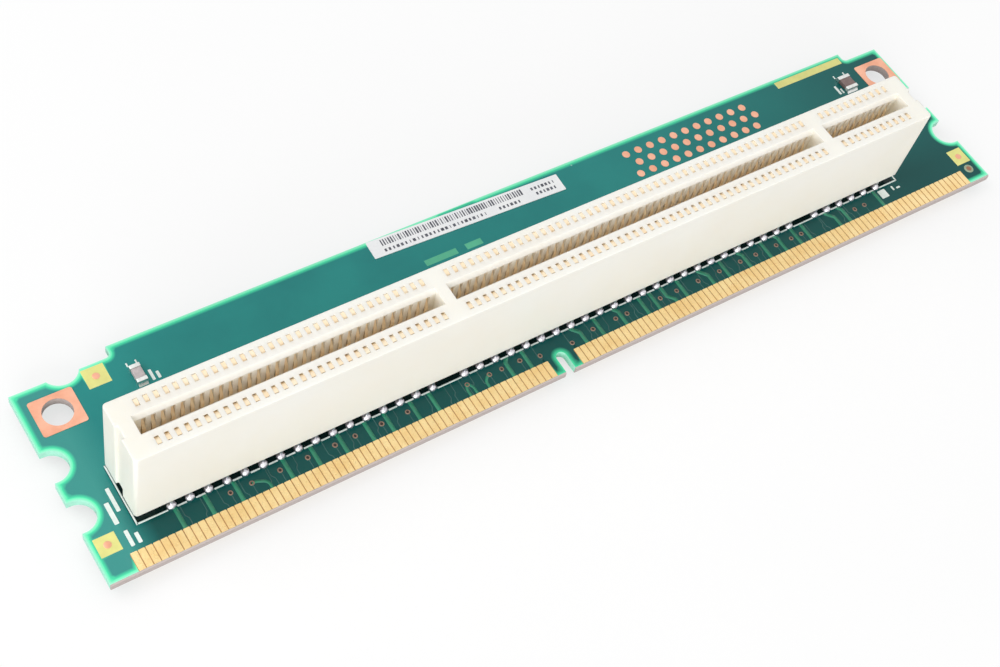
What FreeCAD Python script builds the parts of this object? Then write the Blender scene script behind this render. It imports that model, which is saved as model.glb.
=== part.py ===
import FreeCAD, Part
import os

import Sketcher

# Riser card: a circuit board with a gold edge and one keyed slot connector soldered to it.
# X runs along the card, Y from the gold edge to the rear edge, Z up out of the slot.
# The origin is under the middle of the board, level with the tips of the contact tails.

# Driving dimensions in millimetres, and the counts of the contacts.
SIZES = {
    # board outline
    "board_length": 150.0,
    "board_width": 30.9,
    "board_thickness": 1.27,
    "edge_bevel": 0.2,
    "end_step": 1.65,
    "left_step_inset": 13.9,
    "right_step_inset": 6.8,
    "step_fillet": 0.7,
    "rear_notch_inset": 7.25,
    "rear_notch_radius": 2.5,
    "rear_notch_depth": 1.4,
    "latch_width": 4.6,
    "latch_depth": 2.8,
    "latch_height": 10.1,
    "latch_spacing": 7.7,
    "key_inset": 67.9,
    "key_width": 1.6,
    "key_depth": 3.3,
    # mounting holes and their copper lands
    "hole_diameter": 4.0,
    "hole_left_inset": 4.5,
    "hole_right_inset": 3.3,
    "hole_rear_inset": 6.3,
    "copper_thickness": 0.06,
    "land_length": 6.0,
    "land_width": 5.5,
    # gold fingers along the front edge
    "finger_pitch": 1.0,
    "finger_width": 0.8,
    "finger_length": 2.6,
    "finger_key_span": 5.3,
    "finger_margin": 3.8,
    # connector housing
    "socket_inset": 6.09,
    "socket_line": 10.45,
    "socket_width": 8.7,
    "socket_height": 15.5,
    "socket_standoff": 1.55,
    "socket_corner": 0.5,
    "end_wall": 2.285,
    "end_groove_width": 1.8,
    "end_groove_depth": 0.4,
    "foot_length": 2.2,
    "foot_width": 1.4,
    "foot_setback": 1.0,
    "peg_diameter": 2.3,
    "peg_clearance": 0.1,
    "peg_proud": 0.4,
    # card slot and contact cavities
    "slot_width": 1.9,
    "slot_depth": 9.0,
    "slot_end": 1.4,
    "rib_width": 1.67,
    "lead_width": 0.45,
    "lead_depth": 0.7,
    "cavity_width": 0.6,
    "ledge_depth": 0.9,
    "window_offset": 2.85,
    "window_length": 1.15,
    # contacts: blades in the slot and tails under the board
    "contact_pitch": 1.27,
    "contacts_left": 32,
    "contacts_middle": 49,
    "contacts_right": 11,
    "key_positions": 2,
    "contact_width": 0.46,
    "root_height": 1.3,
    "root_rise": 0.9,
    "nose_drop": 3.4,
    "nose_reach": 0.22,
    "tip_drop": 2.4,
    "tip_setback": 0.25,
    "tail_row_spacing": 2.54,
    "tail_length": 1.6,
    "tail_base": 1.1,
    # chip capacitors
    "capacitor_length": 2.8,
    "capacitor_height": 0.8,
    "capacitor_left_width": 1.5,
    "capacitor_left_inset": 15.75,
    "capacitor_right_width": 2.3,
    "capacitor_right_inset": 9.75,
    "capacitor_rear_inset": 5.8,
    "terminal_length": 0.6,
    "terminal_wall": 0.06,
    # paper label, stuck on slightly askew
    "label_length": 32.2,
    "label_width": 3.0,
    "label_thickness": 0.1,
    "label_inset": 69.1,
    "label_rear_inset": 2.15,
    "label_turn": -2.0,
}

# Positions worked out from the driving dimensions, as expressions.
LEFT_END = "-Sizes.board_length / 2"
RIGHT_END = "Sizes.board_length / 2"
FRONT_EDGE = "-Sizes.board_width / 2"
REAR_EDGE = "Sizes.board_width / 2"
END_EDGE = f"({REAR_EDGE} - Sizes.end_step)"
BOARD_TOP = "(Sizes.tail_length + Sizes.board_thickness)"
KEY_CENTRE = f"({LEFT_END} + Sizes.key_inset)"
HOLE_LEFT = f"({LEFT_END} + Sizes.hole_left_inset)"
HOLE_RIGHT = f"({RIGHT_END} - Sizes.hole_right_inset)"
HOLE_LINE = f"({REAR_EDGE} - Sizes.hole_rear_inset)"
LEFT_STEP = f"({LEFT_END} + Sizes.left_step_inset)"
RIGHT_STEP = f"({RIGHT_END} - Sizes.right_step_inset)"
FINGER_SPARE = "(Sizes.finger_key_span / 2 + Sizes.finger_margin + Sizes.finger_width / 2)"
LEFT_FINGERS = f"(floor((Sizes.key_inset - {FINGER_SPARE}) / Sizes.finger_pitch) + 1)"
RIGHT_FINGERS = f"(floor((Sizes.board_length - Sizes.key_inset - {FINGER_SPARE}) / Sizes.finger_pitch) + 1)"
LEFT_FINGER = f"{KEY_CENTRE} - Sizes.finger_key_span / 2 - ({LEFT_FINGERS} - 1) * Sizes.finger_pitch"
RIGHT_FINGER = f"{KEY_CENTRE} + Sizes.finger_key_span / 2"

POSITIONS = "(Sizes.contacts_left + Sizes.contacts_middle + Sizes.contacts_right + 2 * Sizes.key_positions)"
LEFT_START = f"(-({POSITIONS} - 1) / 2 * Sizes.contact_pitch)"
MIDDLE_INDEX = "(Sizes.contacts_left + Sizes.key_positions)"
RIGHT_INDEX = f"({MIDDLE_INDEX} + Sizes.contacts_middle + Sizes.key_positions)"
MIDDLE_START = f"({LEFT_START} + {MIDDLE_INDEX} * Sizes.contact_pitch)"
RIGHT_START = f"({LEFT_START} + {RIGHT_INDEX} * Sizes.contact_pitch)"
KEY_GAP = "(Sizes.key_positions + 1) / 2 * Sizes.contact_pitch"
LEFT_RIB = f"({MIDDLE_START} - {KEY_GAP})"
RIGHT_RIB = f"({RIGHT_START} - {KEY_GAP})"
SLOT_HALF_LENGTH = f"(-{LEFT_START} + Sizes.slot_end)"
SOCKET_HALF_LENGTH = f"({SLOT_HALF_LENGTH} + Sizes.end_wall)"
SOCKET_X = f"({LEFT_END} + Sizes.socket_inset + {SOCKET_HALF_LENGTH})"
SOCKET_Y = f"({FRONT_EDGE} + Sizes.socket_line)"
SLOT_HALF = "Sizes.slot_width / 2"
SLOT_FLOOR = "(Sizes.socket_height - Sizes.slot_depth)"
WINDOW_INNER = "(Sizes.window_offset - Sizes.window_length / 2)"
WINDOW_OUTER = "(Sizes.window_offset + Sizes.window_length / 2)"
PEG_HOLE = "(Sizes.peg_diameter + 2 * Sizes.peg_clearance)"
PEG_END = "-(Sizes.board_thickness + Sizes.peg_proud)"
CAVITY_SLOPE = f"(({WINDOW_OUTER} - {SLOT_HALF}) / Sizes.slot_depth)"

# Each section of the slot: name, first position counted from the left, its place and its number of contacts.
SECTIONS = (
    ("left", "0", LEFT_START, "Sizes.contacts_left"),
    ("middle", MIDDLE_INDEX, MIDDLE_START, "Sizes.contacts_middle"),
    ("right", RIGHT_INDEX, RIGHT_START, "Sizes.contacts_right"),
)

doc = FreeCAD.newDocument("riser_card")
sheet = doc.addObject("Spreadsheet::Sheet", "Sizes")
for row, (alias, size) in enumerate(SIZES.items(), start=1):
    sheet.set(f"A{row}", alias)
    sheet.set(f"B{row}", str(size))
    sheet.setAlias(f"B{row}", alias)
doc.recompute()

sub_parts = []


def value(expression):
    return float(sheet.evalExpression(expression))


def bind(item, **expressions):
    for name, expression in expressions.items():
        item.setExpression(name.replace("__", "."), expression)


def place(item, x, y, z):
    bind(item, Placement__Base__x=x, Placement__Base__y=y, Placement__Base__z=z)


def sub_part(item, label):
    item.Label = label
    sub_parts.append(item)
    return item


# Sketches and features


def new_body(label, x="0", y="0", z="0"):
    body = doc.addObject("PartDesign::Body", label)
    place(body, x, y, z)
    return sub_part(body, label)


def origin_feature(body, role):
    return [item for item in body.Origin.OriginFeatures if item.Role == role][0]


def attach(item, body, plane):
    item.AttachmentSupport = [(origin_feature(body, plane), "")]
    item.MapMode = "FlatFace"


def new_sketch(body, name, plane="XY_Plane", offset="0"):
    sketch = body.newObject("Sketcher::SketchObject", name)
    attach(sketch, body, plane)
    bind(sketch, AttachmentOffset__Base__z=offset)
    return sketch


def fix_point(sketch, geometry, point, x, y):
    """Ties a point of the sketch to the sketch's origin."""
    for kind, expression in (("DistanceX", x), ("DistanceY", y)):
        row = sketch.addConstraint(Sketcher.Constraint(kind, -1, 1, geometry, point, value(expression)))
        sketch.setExpression(f"Constraints[{row}]", expression)


def draw_polygon(sketch, corners):
    points = [FreeCAD.Vector(value(x), value(y), 0) for x, y in corners]
    first = sketch.GeometryCount
    count = len(points)
    for index, point in enumerate(points):
        sketch.addGeometry(Part.LineSegment(point, points[(index + 1) % count]))
    for index, (x, y) in enumerate(corners):
        following = first + (index + 1) % count
        sketch.addConstraint(Sketcher.Constraint("Coincident", first + index, 2, following, 1))
        fix_point(sketch, first + index, 1, x, y)


def draw_box(sketch, left, right, low, high):
    draw_polygon(sketch, [(left, low), (right, low), (right, high), (left, high)])


def draw_circle(sketch, x, y, diameter):
    centre = FreeCAD.Vector(value(x), value(y), 0)
    ring = sketch.addGeometry(Part.Circle(centre, FreeCAD.Vector(0, 0, 1), value(diameter) / 2))
    fix_point(sketch, ring, 3, x, y)
    row = sketch.addConstraint(Sketcher.Constraint("Diameter", ring, value(diameter)))
    sketch.setExpression(f"Constraints[{row}]", diameter)


def pad(body, sketch, length, symmetric=False):
    feature = body.newObject("PartDesign::Pad", sketch.Name + "_pad")
    feature.Profile = sketch
    feature.SideType = "Symmetric" if symmetric else "One side"
    bind(feature, Length=length)
    return feature


def pocket(body, sketch, length, symmetric=False):
    feature = body.newObject("PartDesign::Pocket", sketch.Name + "_pocket")
    feature.Profile = sketch
    feature.SideType = "Symmetric" if symmetric else "One side"
    bind(feature, Length=length)
    return feature


def pocket_through(body, sketch):
    feature = body.newObject("PartDesign::Pocket", sketch.Name + "_pocket")
    feature.Profile = sketch
    feature.Type = "ThroughAll"
    return feature


def repeat(body, feature, count, pitch, axis="X_Axis"):
    """Repeats a feature along one of the body's axes."""
    pattern = body.newObject("PartDesign::LinearPattern", feature.Name + "_row")
    pattern.Originals = [feature]
    pattern.Direction = (origin_feature(body, axis), [""])
    pattern.Mode = "Spacing"
    bind(pattern, Occurrences=count, Offset=pitch)
    body.Tip = pattern
    return pattern


def near(first, second):
    return abs(first - second) < 1e-6


def edges_where(shape, test):
    return [f"Edge{number}" for number, edge in enumerate(shape.Edges, start=1) if test(edge)]


def is_upright(edge):
    ends = [vertex.Point for vertex in edge.Vertexes]
    return len(ends) == 2 and near(ends[0].x, ends[1].x) and near(ends[0].y, ends[1].y)


# Circuit board


def board():
    body = new_body("circuit_board", z="Sizes.tail_length")
    top = "Sizes.board_thickness"

    blank = new_sketch(body, "blank")
    draw_box(blank, LEFT_END, RIGHT_END, FRONT_EDGE, REAR_EDGE)
    pad(body, blank, top)

    steps = new_sketch(body, "end_steps", offset=top)
    draw_box(steps, LEFT_END, LEFT_STEP, END_EDGE, REAR_EDGE)
    draw_box(steps, RIGHT_STEP, RIGHT_END, END_EDGE, REAR_EDGE)
    pocket_through(body, steps)

    rear_notch = new_sketch(body, "rear_notch", offset=top)
    notch_line = f"{END_EDGE} + Sizes.rear_notch_radius - Sizes.rear_notch_depth"
    notch_centre = f"{LEFT_END} + Sizes.rear_notch_inset"
    draw_circle(rear_notch, notch_centre, notch_line, "2 * Sizes.rear_notch_radius")
    pocket_through(body, rear_notch)

    # Latch notches: a straight mouth and a round end, on both ends of the board.
    latch_line = f"({FRONT_EDGE} + Sizes.latch_height)"
    latch_half = "Sizes.latch_width / 2"
    latch_run = f"(Sizes.latch_depth - {latch_half})"
    mouths = new_sketch(body, "latch_mouths", offset=top)
    rounds = new_sketch(body, "latch_rounds", offset=top)
    low, high = f"{latch_line} - {latch_half}", f"{latch_line} + {latch_half}"
    draw_box(mouths, LEFT_END, f"{LEFT_END} + {latch_run}", low, high)
    draw_box(mouths, f"{RIGHT_END} - {latch_run}", RIGHT_END, low, high)
    draw_circle(rounds, f"{LEFT_END} + {latch_run}", latch_line, "Sizes.latch_width")
    draw_circle(rounds, f"{RIGHT_END} - {latch_run}", latch_line, "Sizes.latch_width")
    for sketch in (mouths, rounds):
        repeat(body, pocket_through(body, sketch), "2", "Sizes.latch_spacing", axis="Y_Axis")

    # Key notch in the gold edge, round at its end.
    key_half = "Sizes.key_width / 2"
    key_end = f"({FRONT_EDGE} + Sizes.key_depth - {key_half})"
    key_mouth = new_sketch(body, "key_mouth", offset=top)
    draw_box(key_mouth, f"{KEY_CENTRE} - {key_half}", f"{KEY_CENTRE} + {key_half}", FRONT_EDGE, key_end)
    pocket_through(body, key_mouth)
    key_round = new_sketch(body, "key_round", offset=top)
    draw_circle(key_round, KEY_CENTRE, key_end, "Sizes.key_width")
    pocket_through(body, key_round)

    holes = new_sketch(body, "holes", offset=top)
    draw_circle(holes, HOLE_LEFT, HOLE_LINE, "Sizes.hole_diameter")
    draw_circle(holes, HOLE_RIGHT, HOLE_LINE, "Sizes.hole_diameter")
    for rib in (LEFT_RIB, RIGHT_RIB):
        draw_circle(holes, f"{SOCKET_X} + {rib}", SOCKET_Y, PEG_HOLE)
    cut = pocket_through(body, holes)

    # The inner corners of the end steps are round, and the gold edge is bevelled on both faces.
    doc.recompute()
    corners = (value(LEFT_STEP), value(RIGHT_STEP))
    rounded = body.newObject("PartDesign::Fillet", "step_corners")
    rounded.Base = (cut, edges_where(cut.Shape, lambda edge: is_upright(edge)
                                     and near(edge.Vertexes[0].Y, value(END_EDGE))
                                     and any(near(edge.Vertexes[0].X, corner) for corner in corners)))
    bind(rounded, Radius="Sizes.step_fillet")
    doc.recompute()
    bevel = body.newObject("PartDesign::Chamfer", "gold_edge_bevel")
    bevel.Base = (rounded, edges_where(rounded.Shape, lambda edge: not is_upright(edge)
                                       and all(near(end.Y, value(FRONT_EDGE)) for end in edge.Vertexes)))
    bind(bevel, Size="Sizes.edge_bevel")


# Copper on the board


def fingers(label, face, level, start, count):
    """One run of gold fingers: full thickness at the front, fading out where the solder mask starts."""
    body = new_body(label, x=start, y=f"{FRONT_EDGE} + Sizes.edge_bevel", z=level)
    profile = new_sketch(body, label + "_profile", "YZ_Plane")
    draw_polygon(profile, [("0", "0"), ("Sizes.finger_length", "0"), ("0", f"{face}Sizes.copper_thickness")])
    repeat(body, pad(body, profile, "Sizes.finger_width", symmetric=True), count, "Sizes.finger_pitch")


def land(label, x):
    body = new_body(label, x=x, y=HOLE_LINE, z=BOARD_TOP)
    outline = new_sketch(body, label + "_outline")
    half_length, half_width = "Sizes.land_length / 2", "Sizes.land_width / 2"
    draw_box(outline, f"-{half_length}", half_length, f"-{half_width}", half_width)
    draw_circle(outline, "0", "0", "Sizes.hole_diameter")
    pad(body, outline, "Sizes.copper_thickness")


# Connector housing


def housing():
    body = new_body("connector_housing", x=SOCKET_X, y=SOCKET_Y, z=BOARD_TOP)
    half_width = "Sizes.socket_width / 2"

    outline = new_sketch(body, "block", offset="Sizes.socket_standoff")
    draw_box(outline, f"-{SOCKET_HALF_LENGTH}", SOCKET_HALF_LENGTH, f"-{half_width}", half_width)
    blank = pad(body, outline, "Sizes.socket_height - Sizes.socket_standoff")
    doc.recompute()
    corners = body.newObject("PartDesign::Fillet", "block_corners")
    corners.Base = (blank, edges_where(blank.Shape, is_upright))
    bind(corners, Radius="Sizes.socket_corner")

    grooves = new_sketch(body, "end_grooves", offset="Sizes.socket_height")
    groove_half = "Sizes.end_groove_width / 2"
    groove_floor = f"({SOCKET_HALF_LENGTH} - Sizes.end_groove_depth)"
    draw_box(grooves, f"-{SOCKET_HALF_LENGTH}", f"-{groove_floor}", f"-{groove_half}", groove_half)
    draw_box(grooves, groove_floor, SOCKET_HALF_LENGTH, f"-{groove_half}", groove_half)
    pocket_through(body, grooves)

    # Feet at the four corners and a locating peg under each key rib.
    feet = new_sketch(body, "feet")
    foot_end = f"({SOCKET_HALF_LENGTH} - Sizes.foot_setback)"
    foot_start = f"({foot_end} - Sizes.foot_length)"
    foot_outer = f"({half_width} - Sizes.foot_setback)"
    foot_inner = f"({foot_outer} - Sizes.foot_width)"
    for x_low, x_high in ((f"-{foot_end}", f"-{foot_start}"), (foot_start, foot_end)):
        draw_box(feet, x_low, x_high, f"-{foot_outer}", f"-{foot_inner}")
        draw_box(feet, x_low, x_high, foot_inner, foot_outer)
    pad(body, feet, "Sizes.socket_standoff")
    pegs = new_sketch(body, "pegs", offset=PEG_END)
    for rib in (LEFT_RIB, RIGHT_RIB):
        draw_circle(pegs, rib, "0", "Sizes.peg_diameter")
    pad(body, pegs, f"Sizes.socket_standoff - ({PEG_END})")

    # The card slot: one profile with its lead-in, cut along each section between the ribs.
    half_rib = "Sizes.rib_width / 2"
    mouth = f"({SLOT_HALF} + Sizes.lead_width)"
    lead_floor = "(Sizes.socket_height - Sizes.lead_depth)"
    runs = (
        ("left", f"-{SLOT_HALF_LENGTH}", f"({LEFT_RIB} - {half_rib})"),
        ("middle", f"({LEFT_RIB} + {half_rib})", f"({RIGHT_RIB} - {half_rib})"),
        ("right", f"({RIGHT_RIB} + {half_rib})", SLOT_HALF_LENGTH),
    )
    for name, low, high in runs:
        profile = new_sketch(body, f"slot_{name}", "YZ_Plane", f"({low} + {high}) / 2")
        draw_polygon(profile, [
            (f"-{SLOT_HALF}", SLOT_FLOOR), (SLOT_HALF, SLOT_FLOOR),
            (SLOT_HALF, lead_floor), (mouth, "Sizes.socket_height"),
            (f"-{mouth}", "Sizes.socket_height"), (f"-{SLOT_HALF}", lead_floor),
        ])
        pocket(body, profile, f"{high} - {low}", symmetric=True)

    # Contact cavities: they open into the slot and slant outwards to a window on top.
    for name, _, start, count in SECTIONS:
        profile = new_sketch(body, f"cavities_{name}", "YZ_Plane", start)
        for side in ("-", ""):
            draw_polygon(profile, [
                (side + SLOT_HALF, SLOT_FLOOR), (side + WINDOW_OUTER, "Sizes.socket_height"),
                (side + WINDOW_INNER, "Sizes.socket_height"),
                (side + SLOT_HALF, "Sizes.socket_height - Sizes.ledge_depth"),
            ])
        cavity = pocket(body, profile, "Sizes.cavity_width", symmetric=True)
        repeat(body, cavity, count, "Sizes.contact_pitch")


# Contacts


def contacts(label, side, start, count):
    """One row of springs: each leans from the cavity wall to its nose and falls back above it."""
    body = new_body(label, x=SOCKET_X, y=SOCKET_Y, z=BOARD_TOP)
    profile = new_sketch(body, label + "_profile", "YZ_Plane", start)
    root_top = "(Sizes.root_height + Sizes.root_rise)"
    draw_polygon(profile, [
        (f"{side}({SLOT_HALF} + {CAVITY_SLOPE} * Sizes.root_height)", f"{SLOT_FLOOR} + Sizes.root_height"),
        (f"{side}({SLOT_HALF} - Sizes.nose_reach)", "Sizes.socket_height - Sizes.nose_drop"),
        (f"{side}({SLOT_HALF} + Sizes.tip_setback)", "Sizes.socket_height - Sizes.tip_drop"),
        (f"{side}({SLOT_HALF} + {CAVITY_SLOPE} * {root_top})", f"{SLOT_FLOOR} + {root_top}"),
    ])
    repeat(body, pad(body, profile, "Sizes.contact_width", symmetric=True), count, "Sizes.contact_pitch")


def tails(label, row, parity):
    """One row of soldered tails under the board: every second position of each section."""
    line = f"{SOCKET_Y} + {row} * Sizes.tail_row_spacing"
    body = new_body(label, x=SOCKET_X, y=line, z="Sizes.tail_length")
    half = "Sizes.tail_base / 2"
    points_down = FreeCAD.Rotation(FreeCAD.Vector(1, 0, 0), -90)
    for name, index, start, count in SECTIONS:
        skipped = f"mod({index} + {parity}; 2)"
        tail = body.newObject("PartDesign::AdditiveWedge", f"{label}_{name}")
        attach(tail, body, "XY_Plane")
        tail.AttachmentOffset = FreeCAD.Placement(FreeCAD.Vector(), points_down)
        bind(tail, AttachmentOffset__Base__x=f"{start} + {skipped} * Sizes.contact_pitch",
             Xmin=f"-{half}", Xmax=half, Zmin=f"-{half}", Zmax=half, Ymin="0", Ymax="Sizes.tail_length",
             X2min="0", X2max="0", Z2min="0", Z2max="0")
        repeat(body, tail, f"floor(({count} - {skipped} + 1) / 2)", "2 * Sizes.contact_pitch")


# Chip capacitors and label


def block(name, length, width, height, x, y, z):
    item = doc.addObject("Part::Box", name)
    bind(item, Length=length, Width=width, Height=height)
    place(item, x, y, z)
    return item


def capacitor(label, x, width):
    y = f"({REAR_EDGE} - Sizes.capacitor_rear_inset)"
    half_length = "Sizes.capacitor_length / 2"
    left = f"{x} - {width} / 2"
    wall = "Sizes.terminal_wall"
    middle_length = "(Sizes.capacitor_length - 2 * Sizes.terminal_length)"
    middle = block(label + "_body", f"{width} - 2 * {wall}", middle_length,
                   f"Sizes.capacitor_height - 2 * {wall}",
                   f"{left} + {wall}", f"{y} - {middle_length} / 2", f"{BOARD_TOP} + {wall}")
    sub_part(middle, label + "_body")
    front = f"{y} - {half_length}"
    rear = f"{y} + {half_length} - Sizes.terminal_length"
    pair = doc.addObject("Part::Compound", label + "_terminals")
    pair.Links = [block(f"{label}_{name}", width, "Sizes.terminal_length", "Sizes.capacitor_height",
                        left, start, BOARD_TOP)
                  for name, start in (("front", front), ("rear", rear))]
    sub_part(pair, label + "_terminals")


def label():
    body = new_body("paper_label", x=f"{LEFT_END} + Sizes.label_inset",
                    y=f"{REAR_EDGE} - Sizes.label_rear_inset", z=BOARD_TOP)
    bind(body, Placement__Rotation__Angle="Sizes.label_turn")
    outline = new_sketch(body, "label_outline")
    half_length, half_width = "Sizes.label_length / 2", "Sizes.label_width / 2"
    draw_box(outline, f"-{half_length}", half_length, f"-{half_width}", half_width)
    pad(body, outline, "Sizes.label_thickness")


board()
for side, face, level in (("top", "", BOARD_TOP), ("bottom", "-", "Sizes.tail_length")):
    fingers(f"{side}_fingers_left", face, level, LEFT_FINGER, LEFT_FINGERS)
    fingers(f"{side}_fingers_right", face, level, RIGHT_FINGER, RIGHT_FINGERS)
land("mounting_land_left", HOLE_LEFT)
land("mounting_land_right", HOLE_RIGHT)
housing()
for side, sign in (("front", "-"), ("rear", "")):
    for name, _, start, count in SECTIONS:
        contacts(f"{side}_contacts_{name}", sign, start, count)
    tails(f"tails_{side}_outer", f"{sign}1.5", 1)
    tails(f"tails_{side}_inner", f"{sign}0.5", 0)
capacitor("capacitor_left", f"({LEFT_END} + Sizes.capacitor_left_inset)", "Sizes.capacitor_left_width")
capacitor("capacitor_right", f"({RIGHT_END} - Sizes.capacitor_right_inset)", "Sizes.capacitor_right_width")
label()
doc.recompute()

failed = [item.Label for item in doc.Objects if "Invalid" in item.State or "Error" in item.State]
failed += [item.Label for item in sub_parts if item.Shape.isNull() or not item.Shape.isValid()]
if failed:
    raise RuntimeError("not built: " + ", ".join(failed))
os.makedirs("parts", exist_ok=True)
for item in sub_parts:
    item.Shape.exportStep(f"parts/{item.Label}.step")
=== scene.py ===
"""Looks of a riser card: a green circuit board with a gold edge and one long cream card socket.

X runs along the card, Y from the gold edge to the rear edge, Z up out of the slot. Everything is in metres.
"""

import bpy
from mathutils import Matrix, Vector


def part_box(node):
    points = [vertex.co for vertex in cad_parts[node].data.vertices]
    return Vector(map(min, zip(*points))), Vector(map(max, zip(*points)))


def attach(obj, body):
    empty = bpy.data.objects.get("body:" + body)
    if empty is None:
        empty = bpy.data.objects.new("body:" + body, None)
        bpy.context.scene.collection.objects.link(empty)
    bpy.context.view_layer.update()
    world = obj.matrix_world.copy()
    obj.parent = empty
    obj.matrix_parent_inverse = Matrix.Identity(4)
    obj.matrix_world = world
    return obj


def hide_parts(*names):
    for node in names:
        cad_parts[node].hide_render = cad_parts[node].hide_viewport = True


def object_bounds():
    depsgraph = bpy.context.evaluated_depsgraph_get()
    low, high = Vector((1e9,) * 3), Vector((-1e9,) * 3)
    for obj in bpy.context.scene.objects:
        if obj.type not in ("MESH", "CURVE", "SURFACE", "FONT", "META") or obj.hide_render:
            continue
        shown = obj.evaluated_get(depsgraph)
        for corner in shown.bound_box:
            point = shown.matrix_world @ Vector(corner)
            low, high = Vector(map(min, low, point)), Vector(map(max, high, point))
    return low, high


bl_info = {
    "name": "Riser Card Looks",
    "version": (1, 0, 0),
    "blender": (4, 5, 0),
    "location": "View3D > Sidebar > Riser Card",
    "description": "Dresses the solids of a riser card with solder mask, copper, gold, plastic and print",
    "category": "Object",
}

import math

import bmesh
import bpy
from bpy.props import FloatProperty, FloatVectorProperty, IntProperty, PointerProperty
from bpy.types import Operator, Panel, PropertyGroup
from mathutils import Matrix, Vector
from mathutils.geometry import delaunay_2d_cdt, intersect_point_line

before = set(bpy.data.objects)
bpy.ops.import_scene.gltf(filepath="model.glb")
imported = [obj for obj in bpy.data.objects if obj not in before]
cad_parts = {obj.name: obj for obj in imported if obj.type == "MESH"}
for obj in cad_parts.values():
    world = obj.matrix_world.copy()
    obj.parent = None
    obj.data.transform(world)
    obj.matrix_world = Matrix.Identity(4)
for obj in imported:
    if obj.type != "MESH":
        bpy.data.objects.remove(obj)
CAD_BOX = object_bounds()

MM = 0.001
MERGE = 0.002 * MM
BOARD_LOW, BOARD_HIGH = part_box("circuit_board")
HOUSING_LOW, HOUSING_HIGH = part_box("connector_housing")
UNDERSIDE, TOP = BOARD_LOW.z, BOARD_HIGH.z
FINGERS_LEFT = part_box("top_fingers_left")
FINGERS_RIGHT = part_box("top_fingers_right")
FINGER_FRONT, FINGER_REAR = FINGERS_LEFT[0].y, FINGERS_LEFT[1].y
KEY_LINE = (FINGERS_LEFT[1].x + FINGERS_RIGHT[0].x) / 2
SOCKET_LINE = (HOUSING_LOW.y + HOUSING_HIGH.y) / 2
SIDES = ("front", "rear")
ENDS = ("left", "right")

# Depth of the grooves in the housing's ends, and where the traces start under the fingers.
END_GROOVE = 0.6 * MM
TRACE_START = FINGER_REAR - 0.2 * MM

# Sections of the slot: name, first contact position and number of positions, counted from the left end.
SECTIONS = (("left", 0, 32), ("middle", 34, 49), ("right", 85, 11))

# Fingers that carry a wide trace, counted away from the key notch, and how far the trace steps aside in mm.
WIDE_RIGHT = {2: -0.95, 5: 0, 9: -0.5, 13: 0, 15: 0, 18: -0.9, 20: 0, 25: -1.1, 28: 0, 32: -0.5, 36: 0,
              39: -0.3, 42: 0, 44: 0, 50: -1.1, 52: -0.5, 59: 0}
WIDE_LEFT = {2: 0, 5: 0.5, 17: 0, 20: 0, 24: 0, 27: 0, 31: 0, 35: 0, 39: 0, 46: 0, 50: 0, 54: 0}

# Wide traces on the right that step aside close to their finger, and where they have done so.
EARLY_RIGHT = (18,)
EARLY_END = FINGER_REAR + 1.45 * MM

# Vias in the front strip, as finger counts away from the key notch, and the Y of their rows.
VIAS_RIGHT = (4, 8, 10, 16, 19, 23, 27, 31, 34, 38, 41, 43, 54, 56)
VIAS_LEFT = (3, 6, 8, 11.6, 21, 25, 29, 32, 36, 40, 44, 47)
VIA_LINE_RIGHT, VIA_LINE_LEFT = -11.1 * MM, -10.85 * MM

# Y of the two vias beside the key notch.
KEY_VIA_RIGHT, KEY_VIA_LEFT = -11.7 * MM, -11.45 * MM

# Fingers on the left whose trace bends over to a via: finger, via.
BENT_LEFT = ((9, 8), (11, 11.6), (12, 11.6), (42, 44))

# Openings in the solder mask, as low and high corners in mm.
FIDUCIAL_WINDOWS = (((-74.4, -11.7), (-71.6, -9.0)), ((71.4, -11.7), (74.2, -8.8)),
                    ((-65.6, 10.4), (-62.5, 13.4)))
LAYER_WINDOW = ((53.8, 13.6), (67.6, 14.85))
CLEAR_WINDOWS = (((-16.0, 8.2), (-10.7, 9.2)), ((-9.2, 8.2), (-6.5, 9.2)))
RING_PAD = (72.75, -12.9)

# The first of the copper balance dots in mm.
BALANCE_START = (22.5, 8.9)

# Blocks of white print, as low and high corners in mm: the first contact's mark, then plain bars.
PRINT_BLOCKS = (
    ((55.2, -11.5), (56.6, -10.0)), ((57.9, -10.9), (58.2, -10.1)), ((58.7, -10.9), (59.4, -10.6)),
    ((-71.1, -8.4), (-70.5, -5.2)), ((-70.1, -6.9), (-69.6, -3.4)), ((-70.6, -11.9), (-70.1, -9.6)),
    ((-69.6, -11.9), (-69.1, -10.4)), ((-57.9, 8.1), (-57.5, 9.8)), ((-57.1, 8.1), (-56.7, 9.2)),
    ((62.8, 8.3), (63.2, 10.1)), ((63.5, 8.3), (63.8, 9.3)),
)

# Rows of bars and of short lines on the label: first place along and across it, length, count, height and
# pitch, all but the count in mm.
LABEL_ROWS = (("bars", -14.0, 0.62, 0.16, 58, 1.05, 0.41), ("line_a", -14.0, -0.72, 0.27, 26, 0.5, 0.66),
              ("line_b", 5.0, -0.72, 0.27, 6, 0.5, 0.66), ("line_c", 11.2, 0.5, 0.27, 7, 0.5, 0.62),
              ("line_d", 11.6, -0.5, 0.27, 6, 0.5, 0.62))


def colour(red, green, blue):
    """A display colour, 0 to 255, as the linear values that a shader takes."""
    shares = [level / 255 for level in (red, green, blue)]
    return tuple(s / 12.92 if s <= 0.04045 else ((s + 0.055) / 1.055) ** 2.4 for s in shares) + (1.0,)


def paint(name, red, green, blue, description):
    return FloatVectorProperty(name=name, description=description, size=4, subtype="COLOR", min=0, max=1,
                               default=colour(red, green, blue))


def measure(name, millimetres, description):
    return FloatProperty(name=name, description=description, default=millimetres * MM, min=0,
                         subtype="DISTANCE", unit="LENGTH", precision=5)


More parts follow.
